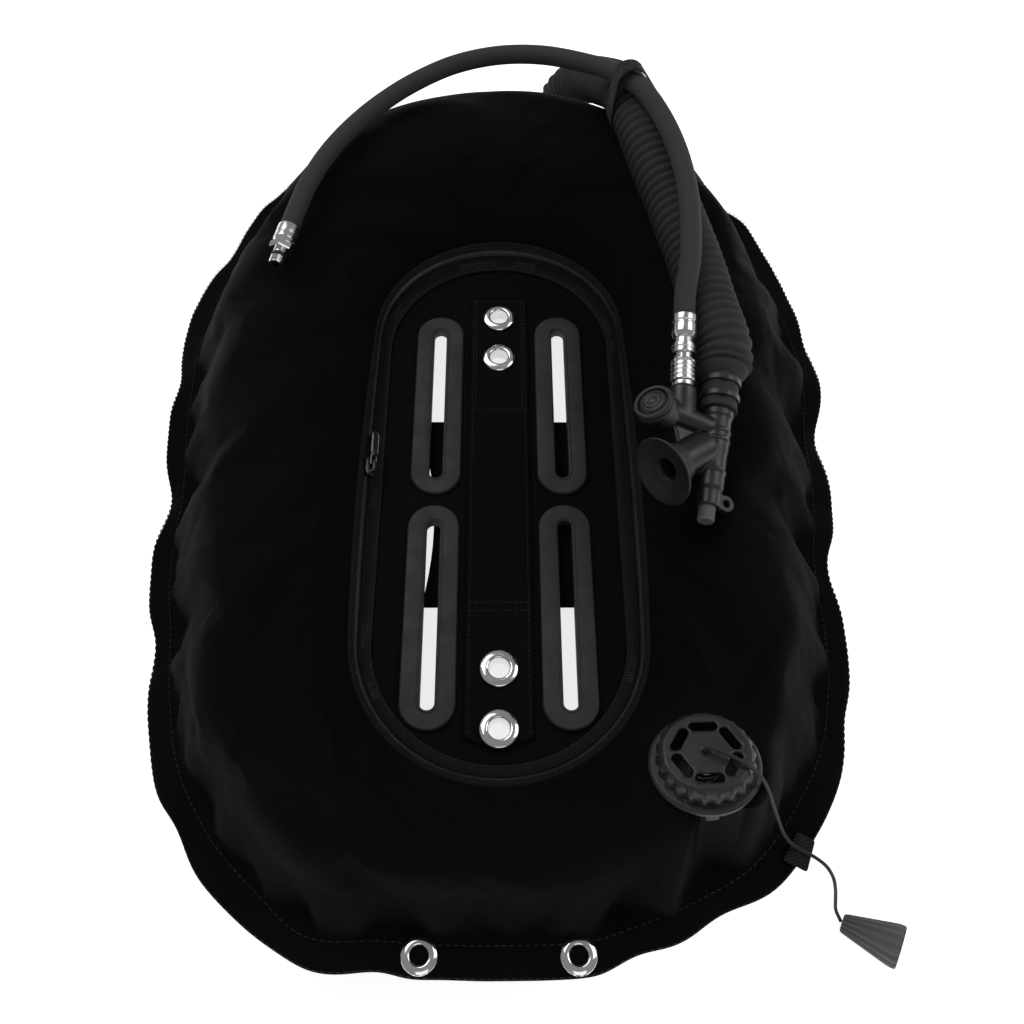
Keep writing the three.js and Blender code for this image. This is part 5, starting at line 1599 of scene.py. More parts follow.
        for station in np.linspace(0, 1, 84, endpoint=False):
            jitter, reach, slant, width, depth = self.random.uniform(
                [-0.004, 0.07, -0.12, 0.0045, 0.0012], [0.004, 0.22, 0.12, 0.0085, 0.0034])
            made.append(Crease(float(station + jitter), 1.0, reach, slant, width, depth))
        for station in np.linspace(0, 1, 46, endpoint=False):
            jitter, reach, slant, width, depth = self.random.uniform(
                [-0.006, 0.08, -0.1, 0.004, 0.0008], [0.006, 0.2, 0.1, 0.007, 0.0022])
            made.append(Crease(float(station + jitter), 0.0, reach, slant, width, depth))
        return made

    def sunk(self, v: np.ndarray) -> np.ndarray:
        """How far the folds sink the cloth: depth, times a bell across, times a fade along.

        The bell across is exp(-(d / width)^2), flanked by a low ridge; along the fold the depth
        fades as (1 - share of its reach)^1.4.

        Args:
            v: shares of the way out, rows by columns.

        Returns:
            Depths in metres, rows by columns.
        """
        v = np.broadcast_to(v, (len(v), self.columns))
        station = np.broadcast_to(np.arange(self.columns) / self.columns, v.shape)
        girth = 1.35 + 0.55 * v
        total = np.zeros(v.shape)
        for crease in self.creases:
            along = np.abs(v - crease.share) / crease.reach
            centre = crease.station + crease.slant * 0.12 * along
            away = (station - centre + 0.5) % 1.0 - 0.5
            d = away * girth / (crease.width * (1 + 0.8 * along))
            bell = np.exp(-d * d) - 0.45 * np.exp(-(np.abs(d) - 1.9) ** 2)
            total += crease.depth * bell * np.clip(1 - along, 0, 1) ** 1.4
        return total

    def ripples(self, v: np.ndarray, size: float) -> np.ndarray:
        """Slack in the cloth: a few long waves with random ways and phases, added up.

        Args:
            v: shares of the way out, rows by columns.
            size: height of the waves in metres.

        Returns:
            Heights in metres, rows by columns.
        """
        v = np.broadcast_to(v, (len(v), self.columns))
        turn = 2 * math.pi * np.arange(self.columns) / self.columns
        total = np.zeros(v.shape)
        for _ in range(16):
            around, across = self.random.integers(3, 24), self.random.uniform(0.5, 3.5)
            phase, part = self.random.uniform(0, 2 * math.pi), self.random.uniform(0.3, 1.0)
            total += part * np.sin(around * turn + 2 * math.pi * across * v + phase)
        return size * total / 4 * np.sin(math.pi * np.clip(v, 0, 1)) ** 0.5

    def margin_wave(self) -> tuple[np.ndarray, np.ndarray]:
        """How the sewn margin waves: heights and how far its edge is drawn in at the puckers.

        Returns:
            Heights and inward pulls in metres, one for each column.
        """
        station = np.arange(self.columns) / self.columns
        turn = 2 * math.pi * station
        wave, pull = np.zeros(self.columns), np.zeros(self.columns)
        for crease in self.creases:
            if crease.share < 0.5:
                continue
            away = ((station - crease.station + 0.5) % 1.0 - 0.5) * 1.9
            bell = np.exp(-(away / (1.5 * crease.width)) ** 2)
            if crease.depth > 0.004:
                pull += 0.8 * crease.depth * bell
            wave -= 0.35 * crease.depth * bell
        for count, phase in ((7, 0.4), (13, 2.1), (19, 4.0), (31, 1.0)):
            wave += 0.0011 * np.sin(count * turn + phase)
        flat = 1 - np.exp(-((np.abs(self.edge[:, 0]) - 0.042) / 0.02) ** 2) * (self.edge[:, 1] < -0.2)
        return wave * flat, pull * flat

    def rings(self) -> tuple[np.ndarray, np.ndarray]:
        """All rows of the ring, front first, then the margin, the rear and the inner wall.

        Returns:
            The points, rows by columns by 3, and how firmly each is held, rows by columns.
        """
        start = self.shell_start / np.linalg.norm(self.seam - self.opening, axis=1)
        spread = np.linspace(0, 1, self.front_rows)[:, None]
        v_front = start + (1 - start) * spread
        front = self.face(Side.FRONT, v_front)
        v_rear = np.broadcast_to(np.linspace(1, 0, self.rear_rows)[:, None],
                                 (self.rear_rows, self.columns))
        rear = self.face(Side.REAR, v_rear)
        normal = self.normals(front)
        slack = self.ripples(v_front, 0.0016) - self.sunk(v_front)
        front = front + normal * (slack * smoothstep(0.0, 0.09, v_front - start))[..., None]
        slack = 0.6 * self.ripples(v_rear, 0.0015) - 0.7 * self.sunk(v_rear)
        rear = rear + self.normals(rear) * slack[..., None]
        wave, pull = self.margin_wave()
        outward = unit(self.edge - self.seam)
        edge = self.edge - outward * pull[:, None]
        rows = [front]
        for share, lift in ((0.25, 0.0), (0.55, 0.0), (0.8, 0.0004), (0.95, 0.0003)):
            plan = self.seam + (edge - self.seam) * share
            rows.append(self.level(plan, self.seam_top + lift + wave * share ** 1.5)[None])
        rows.append(self.level(edge, 0.5 * (self.seam_top + self.seam_bottom) + wave)[None])
        for share, lift in ((0.95, -0.0003), (0.8, -0.0004), (0.55, 0.0), (0.25, 0.0)):
            plan = self.seam + (edge - self.seam) * share
            rows.append(self.level(plan, self.seam_bottom + lift + wave * share ** 1.5)[None])
        rows.append(rear)
        inset = self.opening - self.opening_out * 0.003
        rows.append(self.level(inset, self.rear_edge)[None])
        rows.append(self.level(inset, self.rear_edge + 0.0011)[None])
        under = self.opening + self.opening_out * 0.006
        rows.append(self.level(under, self.rear_edge + 0.002)[None])
        tucked = front[:1].copy()
        tucked[..., 2] -= 0.0012
        rows.append(tucked)
        points = np.concatenate(rows)
        held = np.ones(points.shape[:2])
        share = np.minimum(v_front - start, 1 - v_front) * 5
        held[:self.front_rows] = 1 - smoothstep(0.0, 0.9, share)
        low = self.front_rows + self.margin_rows
        share = np.minimum(v_rear, 1 - v_rear) * 5
        held[low:low + self.rear_rows] = 1 - 0.7 * smoothstep(0.0, 0.9, share)
        return points, held

    def level(self, plan: np.ndarray, z: np.ndarray | float) -> np.ndarray:
        """Plan points lifted to heights."""
        return np.column_stack([plan, np.broadcast_to(z, (len(plan),))])

    def normals(self, points: np.ndarray) -> np.ndarray:
        """Outward normals of a band of rows: the way round crossed with the way across.

        Args:
            points: rows by columns by 3.

        Returns:
            Unit normals in the same layout; up in front, down behind.
        """
        around = np.roll(points, -1, 1) - np.roll(points, 1, 1)
        across = np.gradient(points, axis=0)
        normal = unit(np.cross(around, across))
        return normal * np.sign(normal[..., 2].mean()) * (1 if points[..., 2].mean() > 0.05 else -1)

    def seated(self, points: np.ndarray) -> np.ndarray:
        """The cloth under the valve's flange pressed flat, and drawn down inside its barrel.

        Args:
            points: the points of the cloth.

        Returns:
            The points, moved near the valve.
        """
        seat, up = np.array(self.valve_seat), np.array(self.valve_up)
        gap = points - seat
        height = gap @ up
        radius = np.linalg.norm(gap - height[:, None] * up, axis=1)
        near = (1 - smoothstep(0.030, 0.058, radius)) * (points[:, 2] > 0.06)
        goal = np.where(radius < 0.0222, -0.013, -0.0002)
        return points + (near * (goal - height))[:, None] * up

    def build(self) -> None:
        """Makes the cloth of the ring, its stitches and the bladder."""
        points, held = self.rings()
        shape = grid(points, loop=True)
        ring = shape.shown("ring_cloth", NYLON.material(), 75)
        self.inflate(ring, held)
        smooth = ring.modifiers.new("finer", "SUBSURF")
        smooth.levels = smooth.render_levels = 1
        done = settled(ring)
        place = np.empty(len(done.vertices) * 3, np.float32)
        done.vertices.foreach_get("co", place)
        place = self.seated(place.reshape(-1, 3).astype(float))
        place[:, 2] = np.maximum(place[:, 2], 0.0003)
        done.vertices.foreach_set("co", place.astype(np.float32).ravel())
        done.update()
        self.shop.deliver(ring, Slot.FABRIC, ("front_shell", "rear_shell"))
        self.seams(points)
        self.bladder()

    def inflate(self, ring: bpy.types.Object, held: np.ndarray) -> None:
        """Blows the cloth up for a few steps, then lets no point move more than the cap.

        Args:
            ring: the object.
            held: how firmly each point is held, rows by columns.
        """
        rest = np.empty(len(ring.data.vertices) * 3, np.float32)
        ring.data.vertices.foreach_get("co", rest)
        group = ring.vertex_groups.new(name="held")
        weights = held.ravel()
        for level in np.unique(np.round(weights, 1)):
            chosen = np.nonzero(np.round(weights, 1) == level)[0].tolist()
            group.add(chosen, float(level), "REPLACE")
        air = ring.modifiers.new("air", "CLOTH")
        cloth = air.settings
        cloth.quality = 4
        cloth.mass = 0.3
        cloth.tension_stiffness = cloth.compression_stiffness = 18
        cloth.shear_stiffness = 6
        cloth.bending_stiffness = 0.4
        cloth.shrink_min = -0.02
        cloth.vertex_group_mass = "held"
        cloth.pin_stiffness = 1.0
        cloth.use_pressure = True
        cloth.uniform_pressure_force = self.pressure
        cloth.effector_weights.gravity = 0.0
        scene = bpy.context.scene
        air.point_cache.frame_start, air.point_cache.frame_end = 1, self.frames
        for number in range(1, self.frames + 1):
            scene.frame_set(number)
        done = ring.evaluated_get(bpy.context.evaluated_depsgraph_get()).to_mesh()
        moved = np.empty(len(rest), np.float32)
        done.vertices.foreach_get("co", moved)
        ring.modifiers.clear()
        ring.vertex_groups.clear()
        scene.frame_set(1)
        step = (moved - rest).reshape(-1, 3)
        size = np.linalg.norm(step, axis=1, keepdims=True)
        step = step * np.minimum(1, self.cap / np.maximum(size, 1e-9))
        final = rest.reshape(-1, 3) + step
        final[:, 2] = np.maximum(final[:, 2], 0.0005)
        ring.data.vertices.foreach_set("co", final.ravel())
        ring.data.update()

    def seams(self, points: np.ndarray) -> None:
        """Two rows of stitches on the margin, in front, and one behind.

        Args:
            points: the rows of the ring before the cloth was blown up.
        """
        margin = points[self.front_rows:self.front_rows + self.margin_rows]
        lines = []
        for row, lift in ((0, 0.0003), (3, 0.0003), (8, -0.0003)):
            line = margin[row] + [0.0, 0.0, lift]
            lines.append(stitches(line, UP * np.sign(lift), 0.0042, 0.0031, 0.0008, closed=True))
        self.shop.extra("margin_stitches", lines, THREAD, Slot.FABRIC)

    def bladder(self) -> None:
        """The film bladder inside: the ring's smooth faces, further in and lower under the valve."""
        shares = np.array([0.2, 0.32, 0.45, 0.58, 0.7, 0.82])[:, None]
        front, rear = self.face(Side.FRONT, shares), self.face(Side.REAR, shares)
        depth = 0.012 + 0.012 * np.sin(math.pi * shares)[..., None]
        lowered = front - self.normals(front) * (depth + self.sunk(shares)[..., None])
        lowered[..., 2] = np.maximum(lowered[..., 2], 0.052)
        up = np.array(self.valve_up)
        gap = lowered - np.array(self.valve_seat)
        height = gap @ up
        near = 1 - smoothstep(0.045, 0.085, np.linalg.norm(gap - height[..., None] * up, axis=2))
        lowered = lowered + (near * np.minimum(0, -0.027 - height))[..., None] * up
        rows = np.concatenate([lowered, (rear - self.normals(rear) * np.minimum(depth, 0.009))[::-1]])
        shape = grid(rows[:, ::4], loop=True)
        self.shop.deliver(shape.shown("bladder_film", LINING.material(), 80), Slot.FILM,
                          ("air_bladder",))


# ---------------------------------------------------------------- the middle: panel, rims, eyelets


def stadium(length: float, width: float, count: int = 64, spread: float = 0.0) -> np.ndarray:
    """A stadium about zero with its long axis along Y: half circles joined by straight sides.

    Args:
        length: over both half circles, in millimetres.
        width: its width.
        count: how many points.
        spread: how far outside that outline the points lie.

    Returns:
        Plan points in metres; the same point number lies on the same normal for every spread.
    """
    angle = 2 * math.pi * (np.arange(count) + 0.5) / count
    normal = np.stack([np.cos(angle), np.sin(angle)], 1)
    centre = np.where(normal[:, 1:] > 0, 1, -1) * np.array([[0.0, (length - width) / 2]])
    return (centre + (width / 2 + spread) * normal) * MM


def circle(x: float, y: float, radius: float, count: int = 40) -> np.ndarray:
    """Points of a circle in plan, given in millimetres, in metres."""
    angle = 2 * math.pi * np.arange(count) / count
    return np.stack([x + radius * np.cos(angle), y + radius * np.sin(angle)], 1) * MM


def block(outline: list[tuple[float, float]], low: float, high: float, bevel: float) -> Surface:
    """A flat block: an outline in millimetres from low to high, its rims drawn in by the bevel."""
    line = np.array(outline)
    middle, reach = line.mean(0), np.abs(line - line.mean(0)).max()
    rings = [np.column_stack([middle + (line - middle) * (1 - inset / reach), np.full(len(line), z)])
             for inset, z in ((bevel, low), (bevel * 0.3, low + bevel * 0.3), (0, low + bevel),
                              (0, high - bevel), (bevel * 0.3, high - bevel * 0.3), (bevel, high))]
    return grid(np.array(rings) * MM, poles=(True, True))


def plan_area(loop: np.ndarray) -> float:
    """The area of a plan outline by the sum of its cross products."""
    after = np.roll(loop, -1, 0)
    return abs(float(np.sum(loop[:, 0] * after[:, 1] - after[:, 0] * loop[:, 1]))) / 2


@dataclass
class Centre:
    """The flat centre panel with its four slots and rims, the spine sleeve, flap and eyelets."""

    shop: Workshop
    ring: Ring
    slot_x: float = 43.2
    slot_ys: tuple[float, float] = (32.0, -132.0)
    slot_length: float = 130.0
    slot_width: float = 9.0
    slot_web: float = 3.3
    bolt_ys: tuple[float, ...] = (108.7, 70.7, -208.7, -170.7)
    bolt_cut: float = 7.6
    edge_x: float = 42.0
    edge_y: float = -331.5
    top: float = 0.048
    spine_top: float = 0.0503

    def build(self) -> None:
        """Makes every piece of the middle."""
        self.slots = [(s * self.slot_x, y) for y in self.slot_ys for s in (-1, 1)]
        self.panel()
        self.spine()
        self.flap()
        self.rims()
        self.eyelets()

    def panel(self) -> None:
        """The panel: flat cloth with a slack of a third of a millimetre, cut out for the slots."""
        outline = stadium(393.4, 163.4, 160) + [0.0, self.ring.opening_y]
        length, width = (size + 2 * self.slot_web for size in (self.slot_length, self.slot_width))
        cuts = [stadium(length, width, 48) + np.array(s) * MM for s in self.slots]
        cuts += [circle(0, y, self.bolt_cut) for y in self.bolt_ys]

        def height(plan: np.ndarray) -> np.ndarray:
            """The panel's top with the product of two long waves and a shorter one on it."""
            x, y = plan.T
            slack = np.sin(90 * x + 40 * y) * np.sin(55 * y - 20 * x) + 0.6 * np.sin(160 * x - 75 * y)
            return self.top - 0.0003 + 0.00022 * slack

        piece = plated("centre_panel_look", outline, cuts, 0.005, height, 0.0026,
                       PANEL_NYLON.material())
        self.shop.deliver(piece, Slot.FABRIC, ("centre_panel",))
        area = plan_area(outline) - sum(plan_area(c) for c in cuts)

    def spine(self) -> None:
        """The spine sleeve: a doubled strip with cross seams and rows of stitches."""
        low, high, half = -0.2256, 0.12805, 0.021
        side = np.linspace(low + 0.012, high - 0.004, 60)
        end = np.linspace(-1, 1, 15)
        bow = 0.012 * np.sqrt(np.maximum(0, 1 - (0.8 * end) ** 2))
        foot = np.column_stack([half * end, low + 0.012 - bow + 0.0072])
        outline = np.concatenate([
            np.column_stack([np.full(60, half), side]),
            np.column_stack([half * end[::-1][1:-1], np.full(13, high)]),
            np.column_stack([np.full(60, -half), side[::-1]]), foot[1:-1],
        ])
        seams = (0.0244, -0.126, -0.1316)

        def height(plan: np.ndarray) -> np.ndarray:
            """The strip's top, a little crowned across, with a narrow dip at each cross seam."""
            x, y = plan.T
            dip = sum(np.exp(-((y - s) / 0.0016) ** 2) for s in seams)
            puff = 0.00035 * np.cos(x / half * math.pi / 2) * np.sin(38 * y + 60 * x)
            return self.spine_top - 0.0004 + puff - 0.0005 * dip

        holes = [circle(0, y, self.bolt_cut) for y in self.bolt_ys]
        piece = plated("spine_sleeve_look", outline, holes, 0.003, height, 0.0016, NYLON.material())
        self.shop.deliver(piece, Slot.FABRIC, ("spine_sleeve",))
        plan_area(outline) - 4 * plan_area(circle(0, 0, 7.6))
        rows = []
        for x in (-0.0186, 0.0186):
            y = np.linspace(low + 0.014, high - 0.003, 200)
            rows.append(np.column_stack([np.full(200, x), y]))
        for x in (-0.0165, 0.0165):
            y = np.linspace(seams[0], high - 0.003, 120)
            rows.append(np.column_stack([np.full(120, x), y]))
        for y in [*seams, high - 0.0025]:
            x = np.linspace(-0.0195, 0.0195, 30)
            rows.append(np.column_stack([x, np.full(30, y)]))
        sewn = [stitches(np.column_stack([r, height(r) + 0.0001]), UP) for r in rows]
        self.shop.extra("spine_stitches", sewn, THREAD, Slot.FABRIC)

    def flap(self) -> None:
        """The rear flap behind the panel and the strip that joins them."""
        t = np.linspace(0, 1, 14)[:, None]
        curve = ((1 - t) ** 2 * [-58, 20] + 2 * t * (1 - t) * [-34, -52] + t ** 2 * [-50, -125]) * MM
        outline = np.concatenate([np.array([[58, -125], [58, -52], [58, 20], [0, 20]]) * MM, curve,
                                  np.array([[0, -125]]) * MM])

        def height(plan: np.ndarray) -> np.ndarray:
            """The flap's top with the product of two long waves on it."""
            x, y = plan.T
            return 0.0406 + 0.0003 * np.sin(70 * x + 30 * y) * np.sin(45 * y)

        piece = plated("rear_flap_look", outline, [], 0.005, height, 0.0012, PANEL_NYLON.material())
        strip = block(rounded([(-12, -110), (12, -110), (12, 5), (-12, 5)], 2), 40.3, 44.6, 0.3)
        self.shop.extra("rear_flap_strip", [strip], PANEL_NYLON, Slot.FABRIC)
        self.shop.deliver(piece, Slot.FABRIC, ("rear_flap",))
        plan_area(outline)

    def slot_line(self, middle: tuple[float, float], out: float, z: float) -> np.ndarray:
        """A line round a slot, at a distance from its edge and a height, in millimetres."""
        plan = stadium(self.slot_length, self.slot_width, 96, out) + np.array(middle) * MM
        return np.column_stack([plan, np.full(len(plan), z * MM)])

    def rims(self) -> None:
        """The moulded rims: one profile carried round each slot."""
        profile = rounded([(0, 42.8), (0, 50.8), (12, 50.8), (13, 48.3), (3, 48.3), (3, 44.7),
                           (13, 44.7), (12, 42.8)], 0.9)
        names = ("upper_left", "upper_right", "lower_left", "lower_right")
        for name, middle in zip(names, self.slots):
            rim = grid(np.array([self.slot_line(middle, out, z) for out, z in profile]), loop=True)
            lip = tube(self.slot_line(middle, 1.6, 50.7), 0.0006, UP, 8, closed=True)
            shape = Surface.join([rim, lip])
            self.shop.stand_in(f"slot_rim_{name}", shape, RIM_RUBBER, Slot.RUBBER, 50)

    def eyelets(self) -> None:
        """Rolled brass eyelets, plated bright, each with its washer."""
        places = [(f"centre_{k + 1}", 0, y, 45, 50.3, 12.8, 24.7) for k, y in enumerate(self.bolt_ys)]
        places += [(f"edge_{n}", s * self.edge_x, self.edge_y, 48.65, 51.35, 9.5, 20.6)
                   for n, s in (("left", -1), ("right", 1))]
        for name, x, y, low, high, hole, size in places:
            bore, rim = hole / 2, size / 2
            barrel, washer = bore + 0.8, low - 0.3
            curl = washer - 1.6
            base = np.array([x, y, 0.0]) * MM
            self.shop.turned_piece(f"{name}_eyelet", [
                (bore, curl - 0.9), (bore, high + 1.2), (bore + 0.5, high + 2.0), (bore + 1.6, high + 2.4),
                (rim - 2.4, high + 2.1), (rim - 0.7, high + 1.3), (rim, high + 0.3), (barrel, high + 0.3),
                (barrel, curl), (barrel + 2, curl), (barrel + 1.6, curl - 0.9),
            ], base, UP, CHROME, Slot.CHROME, 0.5, segments=80)
            self.shop.turned_piece(f"{name}_washer", [
                (barrel + 0.4, washer - 1.3), (barrel + 0.4, washer), (rim - 0.6, washer),
                (rim - 0.6, washer - 1.3),
            ], base, UP, STEEL, Slot.CHROME, 0.3)


# ---------------------------------------------------------------- the zip round the opening


@dataclass
class Zip:
    """The zip between panel and ring: two tapes, the coil, tacks, slider and pull."""

    shop: Workshop
    ring: Ring
    lap: float = 0.003
    coil_at: float = 0.0064
    tape: float = 0.0011
    outer_end: float = 0.0165
    tacks: tuple[tuple[float, float], ...] = (
        (0.9767, 4), (0.9917, 3), (0.0204, 4), (0.0724, 3), (0.1134, 4), (0.1352, 3), (0.3897, 4),
        (0.5974, 3), (0.6331, 4), (0.9012, 3), (0.7335, 4),
    )
    seat: Place = (-88.297, -31.445, 59.129)
    across: Place = (0.5811, 0.0, -0.8138)

    def lie(self, distance: float, lift: float) -> np.ndarray:
        """A closed line on the ring's face.

        Args:
            distance: from the opening's edge, outwards; below 0 it lies flat on the panel.
            lift: how far above the face.

        Returns:
            Points, one for each column of the ring.
        """
        ring = self.ring
        if distance <= 0:
            plan = ring.opening + ring.opening_out * distance
            return ring.level(plan, ring.front_edge + lift)
        width = np.linalg.norm(ring.seam - ring.opening, axis=1)
        near = np.array([0.9, 1.0, 1.1])[:, None] * distance / width
        rows = ring.face(Side.FRONT, near)
        return rows[1] + ring.normals(rows)[1] * lift

    def build(self) -> None:
        """Makes every piece of the zip."""
        self.tapes()
        self.coil()
        self.bartacks()
        self.slider()

    def tapes(self) -> None:
        """The inner and the outer tape, each a closed band of rows."""
        t = self.tape
        inner = [(-self.lap, 0.0), (-0.0015, 0.0), (0.001, 0.0001), (0.0030, 0.0), (0.0049, 0.0003),
                 (0.0049, -t), (0.0030, -t), (0.001, -t), (-0.0015, -t), (-self.lap, -t)]
        outer = [(0.0079, 0.0003), (0.0102, 0.0001), (0.012, -0.0008), (self.outer_end, -0.0015),
                 (self.outer_end, -0.0026), (0.012, -0.0019), (0.0102, -t), (0.0079, -t)]
        for name, rows in (("inner", inner), ("outer", outer)):
            shape = grid(np.array([self.lie(d, lift) for d, lift in rows]), loop=True)
            self.shop.stand_in(f"zipper_{name}_tape", shape, TAPE_CLOTH, Slot.FABRIC, 60)
        sewn = []
        for distance in (-0.0018, 0.0108):
            line = self.lie(distance, 0.0002)
            over = self.lie(distance, 0.0012) - line
            sewn.append(stitches(line, unit(over), 0.0032, 0.0023, 0.0006, closed=True))
        self.shop.extra("zip_stitches", sewn, THREAD, Slot.FABRIC)

    def coil(self) -> None:
        """The coil: a low core and a tooth every 1.5 mm, each a long rounded bead across it."""
        core = grid(np.array([self.lie(self.coil_at + d, lift) for d, lift in
                              ((-0.0013, -0.0004), (0.0, 0.0002), (0.0013, -0.0004), (0.0, -0.0014))]),
                    loop=True)
        line, over = self.lie(self.coil_at, 0.0001), self.lie(self.coil_at, 0.0011)
        both = evenly(np.hstack([line, over]), 0.0015, closed=True)
        line, over = both[:, :3], unit(both[:, 3:] - both[:, :3])
        along = unit(np.roll(line, -1, 0) - np.roll(line, 1, 0))
        across = unit(np.cross(over, along))
        rows = np.stack([along, over, across], 1)
        rows[:, 0] *= np.sign(np.linalg.det(rows))[:, None]
        teeth = repeated(stitch(0.0030, 0.0012), line, rows)
        self.shop.stand_in("zipper_coil", Surface.join([core, teeth]), COIL_PLASTIC, Slot.PLASTIC, 60)

    def bartacks(self) -> None:
        """Crossed zigzag tacks over the inner tape, three or four crosses long."""
        line, base = self.lie(0.002, 0.0002), self.lie(-0.001, 0.0002)
        over = unit(self.lie(0.002, 0.0012) - line)
        made = []
        for station, bars in self.tacks:
            k = round(station * self.ring.columns) % self.ring.columns
            along = unit(line[(k + 1) % self.ring.columns] - line[k - 1])
            outward = unit(line[k] - base[k])
            for swing in (outward, -outward):
                made.append(zigzag(line[k] - outward * 0.0008, along, swing, over[k], 0.0042 * bars,
                                   0.0058, 2 * bars + 1))
        self.shop.extra("zip_tacks", made, THREAD, Slot.FABRIC)

    def slider(self) -> None:
        """The slider with its arched bridge, and the pull that hangs on it by a pin."""
        x = unit(np.array(self.across))
        rows, seat = np.stack([x, NORTH, np.cross(x, NORTH)]), np.array(self.seat) * MM
        plate = block(rounded([(-4.5, -4), (-3, -6.5), (3, -6.5), (4.5, -4), (4.5, 5), (3.2, 6.5),
                               (-3.2, 6.5), (-4.5, 5)], 1.2), 1.9, 3.5, 0.4)
        arch = np.array([[0, -4.1, 3.2], [0, -3.9, 5.2], [0, -3.0, 6.3], [0, -1.0, 6.6], [0, 1.0, 6.6],
                         [0, 3.0, 6.3], [0, 3.9, 5.2], [0, 4.1, 3.2]])
        section = np.array(rounded([(-1.5, -0.6), (1.5, -0.6), (1.5, 0.6), (-1.5, 0.6)], 0.3)) * MM
        bridge = swept(section[:, ::-1], smooth_path(arch.tolist(), 0.0004), EAST)
        shape = Surface.join([plate, bridge]).placed(rows, seat)
        self.shop.stand_in("zipper_slider", shape, DARK_STEEL, Slot.STEEL, 40, Body.SLIDER)
        pin = tube(np.array([[-2.6, 1, 5.1], [0, 1, 5.1], [2.6, 1, 5.1]]) * MM, 0.00075, UP, 20)
        arms = [tube(np.array([[s * 2.4, 0.6, 5.1], [s * 2.6, 4, 5.1], [s * 2.0, 9.6, 5.1]]) * MM,
                     0.00072, UP, 16) for s in (-1, 1)]
        outline = [tuple(p) for p in (stadium(20, 7, 40) / MM + [0.0, 18.0])]
        tab = block(outline, 4.4, 5.8, 0.3)
        rim = tube(np.column_stack([stadium(18.4, 5.4, 40) + [0.0, 0.018],
                                    np.full(40, 0.00575)]), 0.00035, UP, 8, closed=True)
        shape = Surface.join([pin, *arms, tab, rim]).placed(rows, seat)
        self.shop.stand_in("zipper_pull", shape, DARK_STEEL, Slot.STEEL, 40, Body.PULL)


# ---------------------------------------------------------------- dump valve, its cord and knob


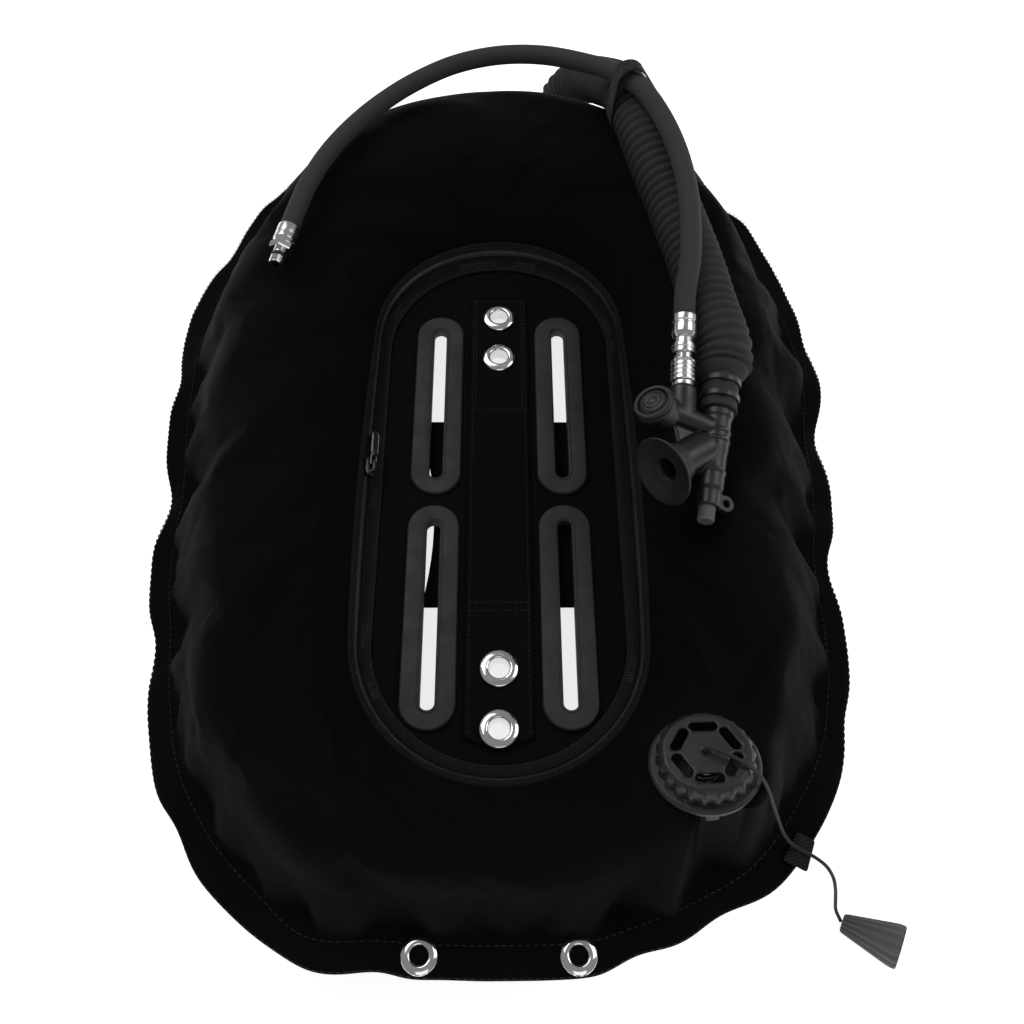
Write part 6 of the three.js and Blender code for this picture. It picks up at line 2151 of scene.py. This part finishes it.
@dataclass
class DumpValve:
    """The dump valve near the foot: base, toothed cap, spring, poppet, cord, tab and knob."""

    shop: Workshop
    seat: Place = (106.284, -248.132, 110.723)
    way: Place = (-0.08058, 0.24175, 0.96699)
    cap_radius: float = 25.5
    teeth: int = 22
    vents: int = 6
    cord_radius: float = 0.001

    def build(self) -> None:
        """Makes every piece of the valve and of its pull."""
        base, way = np.array(self.seat) * MM, np.array(self.way)
        self.shop.turned_piece("dump_valve_base", [
            (29, 0.5), (29, 2.6), (27.5, 3.8), (21.8, 3.8), (21.8, 9), (20.4, 9), (20.4, -9), (14, -9),
            (14, -11), (20.4, -11), (20.4, -14), (23.5, -14), (23.5, 0.5),
        ], base, way, CAP_PLASTIC, Slot.PLASTIC, 0.4, segments=96)
        self.cap(base, way)
        self.shop.turned_piece("dump_poppet", [
            (0, -8.7), (17.5, -8.7), (17.5, -7.1), (12, -6.9), (2.4, -7.1), (2.4, 6), (0, 6),
        ], base, way, CAP_PLASTIC, Slot.PLASTIC, 0.3, closed=False, body=Body.DUMP)
        self.shop.coil("dump_spring", 8, 0.6, -6.1, 10.8, 4, base, way)
        self.cord()

    def cap(self, base: np.ndarray, way: np.ndarray) -> None:
        """The cap: a wall with teeth for the grip and a crowned top with kidney vents.

        Args:
            base: the valve's seat, in metres.
            way: its axis.
        """
        r = self.cap_radius
        self.shop.turned_piece("dump_valve_cap", [
            (22.4, 4.1), (r, 4.1), (r, 10.2), (r - 1.2, 12.4), (r - 3, 13.9), (r - 3.9, 13.9),
            (22.0, 11.9),
        ], base, way, CAP_PLASTIC, Slot.PLASTIC, 0.5, segments=352, ripple=(self.teeth, 1.5))
        vents = []
        for k in range(self.vents):
            flat = stadium(15, 6, 36)
            turn = math.radians(60) * (k + 0.5) + flat[:, 1] / 0.0155
            far = 0.0155 + flat[:, 0]
            vents.append(np.stack([far * np.cos(turn), far * np.sin(turn)], 1))

        def crown(plan: np.ndarray) -> np.ndarray:
            """The cap's top: highest in the middle, lower by the square of the radius."""
            return 0.0140 + 0.0006 * (1 - (np.linalg.norm(plan, axis=1) / 0.0225) ** 2)

        piece = plated("dump_valve_cap_top", circle(0, 0, 22.6, 96), [*vents, circle(0, 0, 1.9, 24)],
                       0.0017, crown, 0.002, CAP_PLASTIC.material(), basis(way), base)
        self.shop.deliver(piece, Slot.PLASTIC)

    def cord(self) -> None:
        """The thin cord from the cap to its fluted knob, and the tab that guides it."""
        line = smooth_path(CORD_ROUTE, 0.001)
        shape = tube(line, self.cord_radius, np.array([0.47, 0.88, 0.0]), 14)
        piece = self.shop.stand_in("dump_cord", shape, BRAID, Slot.CORD, 180)
        start, way = np.array([197.9, -308.7, 5.3]) * MM, unit(np.array([25.5, -13.0, 6.9]))
        knob = self.shop.turned_piece("dump_knob", [
            (1.6, 0), (4.6, 0), (5.5, 1.2), (12.0, 28), (12.3, 30), (12.3, 32.2), (11.6, 33), (9.5, 33),
            (8.5, 19), (1.6, 19),
        ], start, way, KNOB_PLASTIC, Slot.KNOB, 0.5, segments=168, ripple=(14, 1.3))
        c, s = math.cos(-0.5), math.sin(-0.5)
        rows = np.array([[c, s, 0.0], [-s, c, 0.0], [0.0, 0.0, 1.0]])
        tab = block(rounded([(-7, -9), (7, -9), (5.2, 9), (-5.2, 9)], 1.6), 0.0, 1.2, 0.25)
        place = np.array([166.5, -278.5, 51.65]) * MM
        self.shop.stand_in("cord_guide_tab", tab.placed(rows, place), WEBBING, Slot.FABRIC, 50)
        edge = np.array(rounded([(-5.6, -7.6), (5.6, -7.6), (4.1, 7.6), (-4.1, 7.6)], 1.0)) * MM
        line = np.column_stack([edge, np.full(len(edge), 0.00125)]) @ rows + place
        self.shop.extra("cord_guide_stitches", [stitches(line, UP, 0.002, 0.0015, 0.0005, closed=True)],
                        THREAD, Slot.FABRIC)


@dataclass
class Elbow:
    """The hose fitting on the rear: a flange on the cloth, its nut inside and a short elbow."""

    shop: Workshop
    seat: Place = (42.2, 304.7, 23.0)
    normal: Place = (0.16, 0.75, -0.65)
    radius: float = 13.5

    def build(self) -> None:
        """Makes the flange, the nut and the elbow tube."""
        way = unit(np.array(self.normal))
        base = np.array(self.seat) * MM + way * 0.0005
        self.shop.turned_piece("elbow_flange", [
            (11.5, -16), (11.5, 3), (20, 3), (20, 0), (13.5, 0), (13.5, -16),
        ], base, way, PLASTIC, Slot.PLASTIC, 0.5)
        self.shop.turned_piece("elbow_nut", [
            (13.8, -15.5), (13.8, -13), (16.4, -13), (16.4, -15.5),
        ], base, way, PLASTIC, Slot.PLASTIC, 0.3)
        first, second = (np.array(p, float) for p in CORRUGATED_ROUTE[:2])
        ahead = unit(second - first)
        end = first - 0.3 * ahead
        route = [base / MM + way * s for s in (3.9, 7.0, 11.0)] + [end - 10 * ahead, end]
        line = smooth_path([list(p) for p in route], 0.001)
        share = np.linspace(0, 1, len(line))
        bead = sum(0.0006 * np.exp(-((share - place) / 0.03) ** 2) for place in (0.93, 0.07))
        shape = tube(line, self.radius * MM + bead, EAST, 48)
        self.shop.stand_in("elbow", shape, PLASTIC, Slot.PLASTIC, 60)


# ---------------------------------------------------------------- all together


def dress_the_rest(shop: Workshop) -> None:
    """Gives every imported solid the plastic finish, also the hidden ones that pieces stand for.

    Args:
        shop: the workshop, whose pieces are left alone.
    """
    for name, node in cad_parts.items():
        target = node if isinstance(node, bpy.types.Object) else bpy.data.objects.get(name)
        if target is None or target in shop.pieces or target.type != "MESH":
            continue
        target.data.materials.clear()
        target.data.materials.append(PLASTIC.material())


def main() -> None:
    """Builds the studio, then each sub-assembly."""
    logging.basicConfig(level=logging.INFO, format="%(message)s")
    Studio().build()
    shop = Workshop()
    inflator = Inflator(shop)
    ring = Ring(shop)
    for assembly in (Hoses(shop, inflator), DumpValve(shop), inflator, Centre(shop, ring),
                     Zip(shop, ring), Elbow(shop), ring):
        assembly.build()
        log.info("built %s", type(assembly).__name__)
    dress_the_rest(shop)


if __name__ == "__main__":
    main()
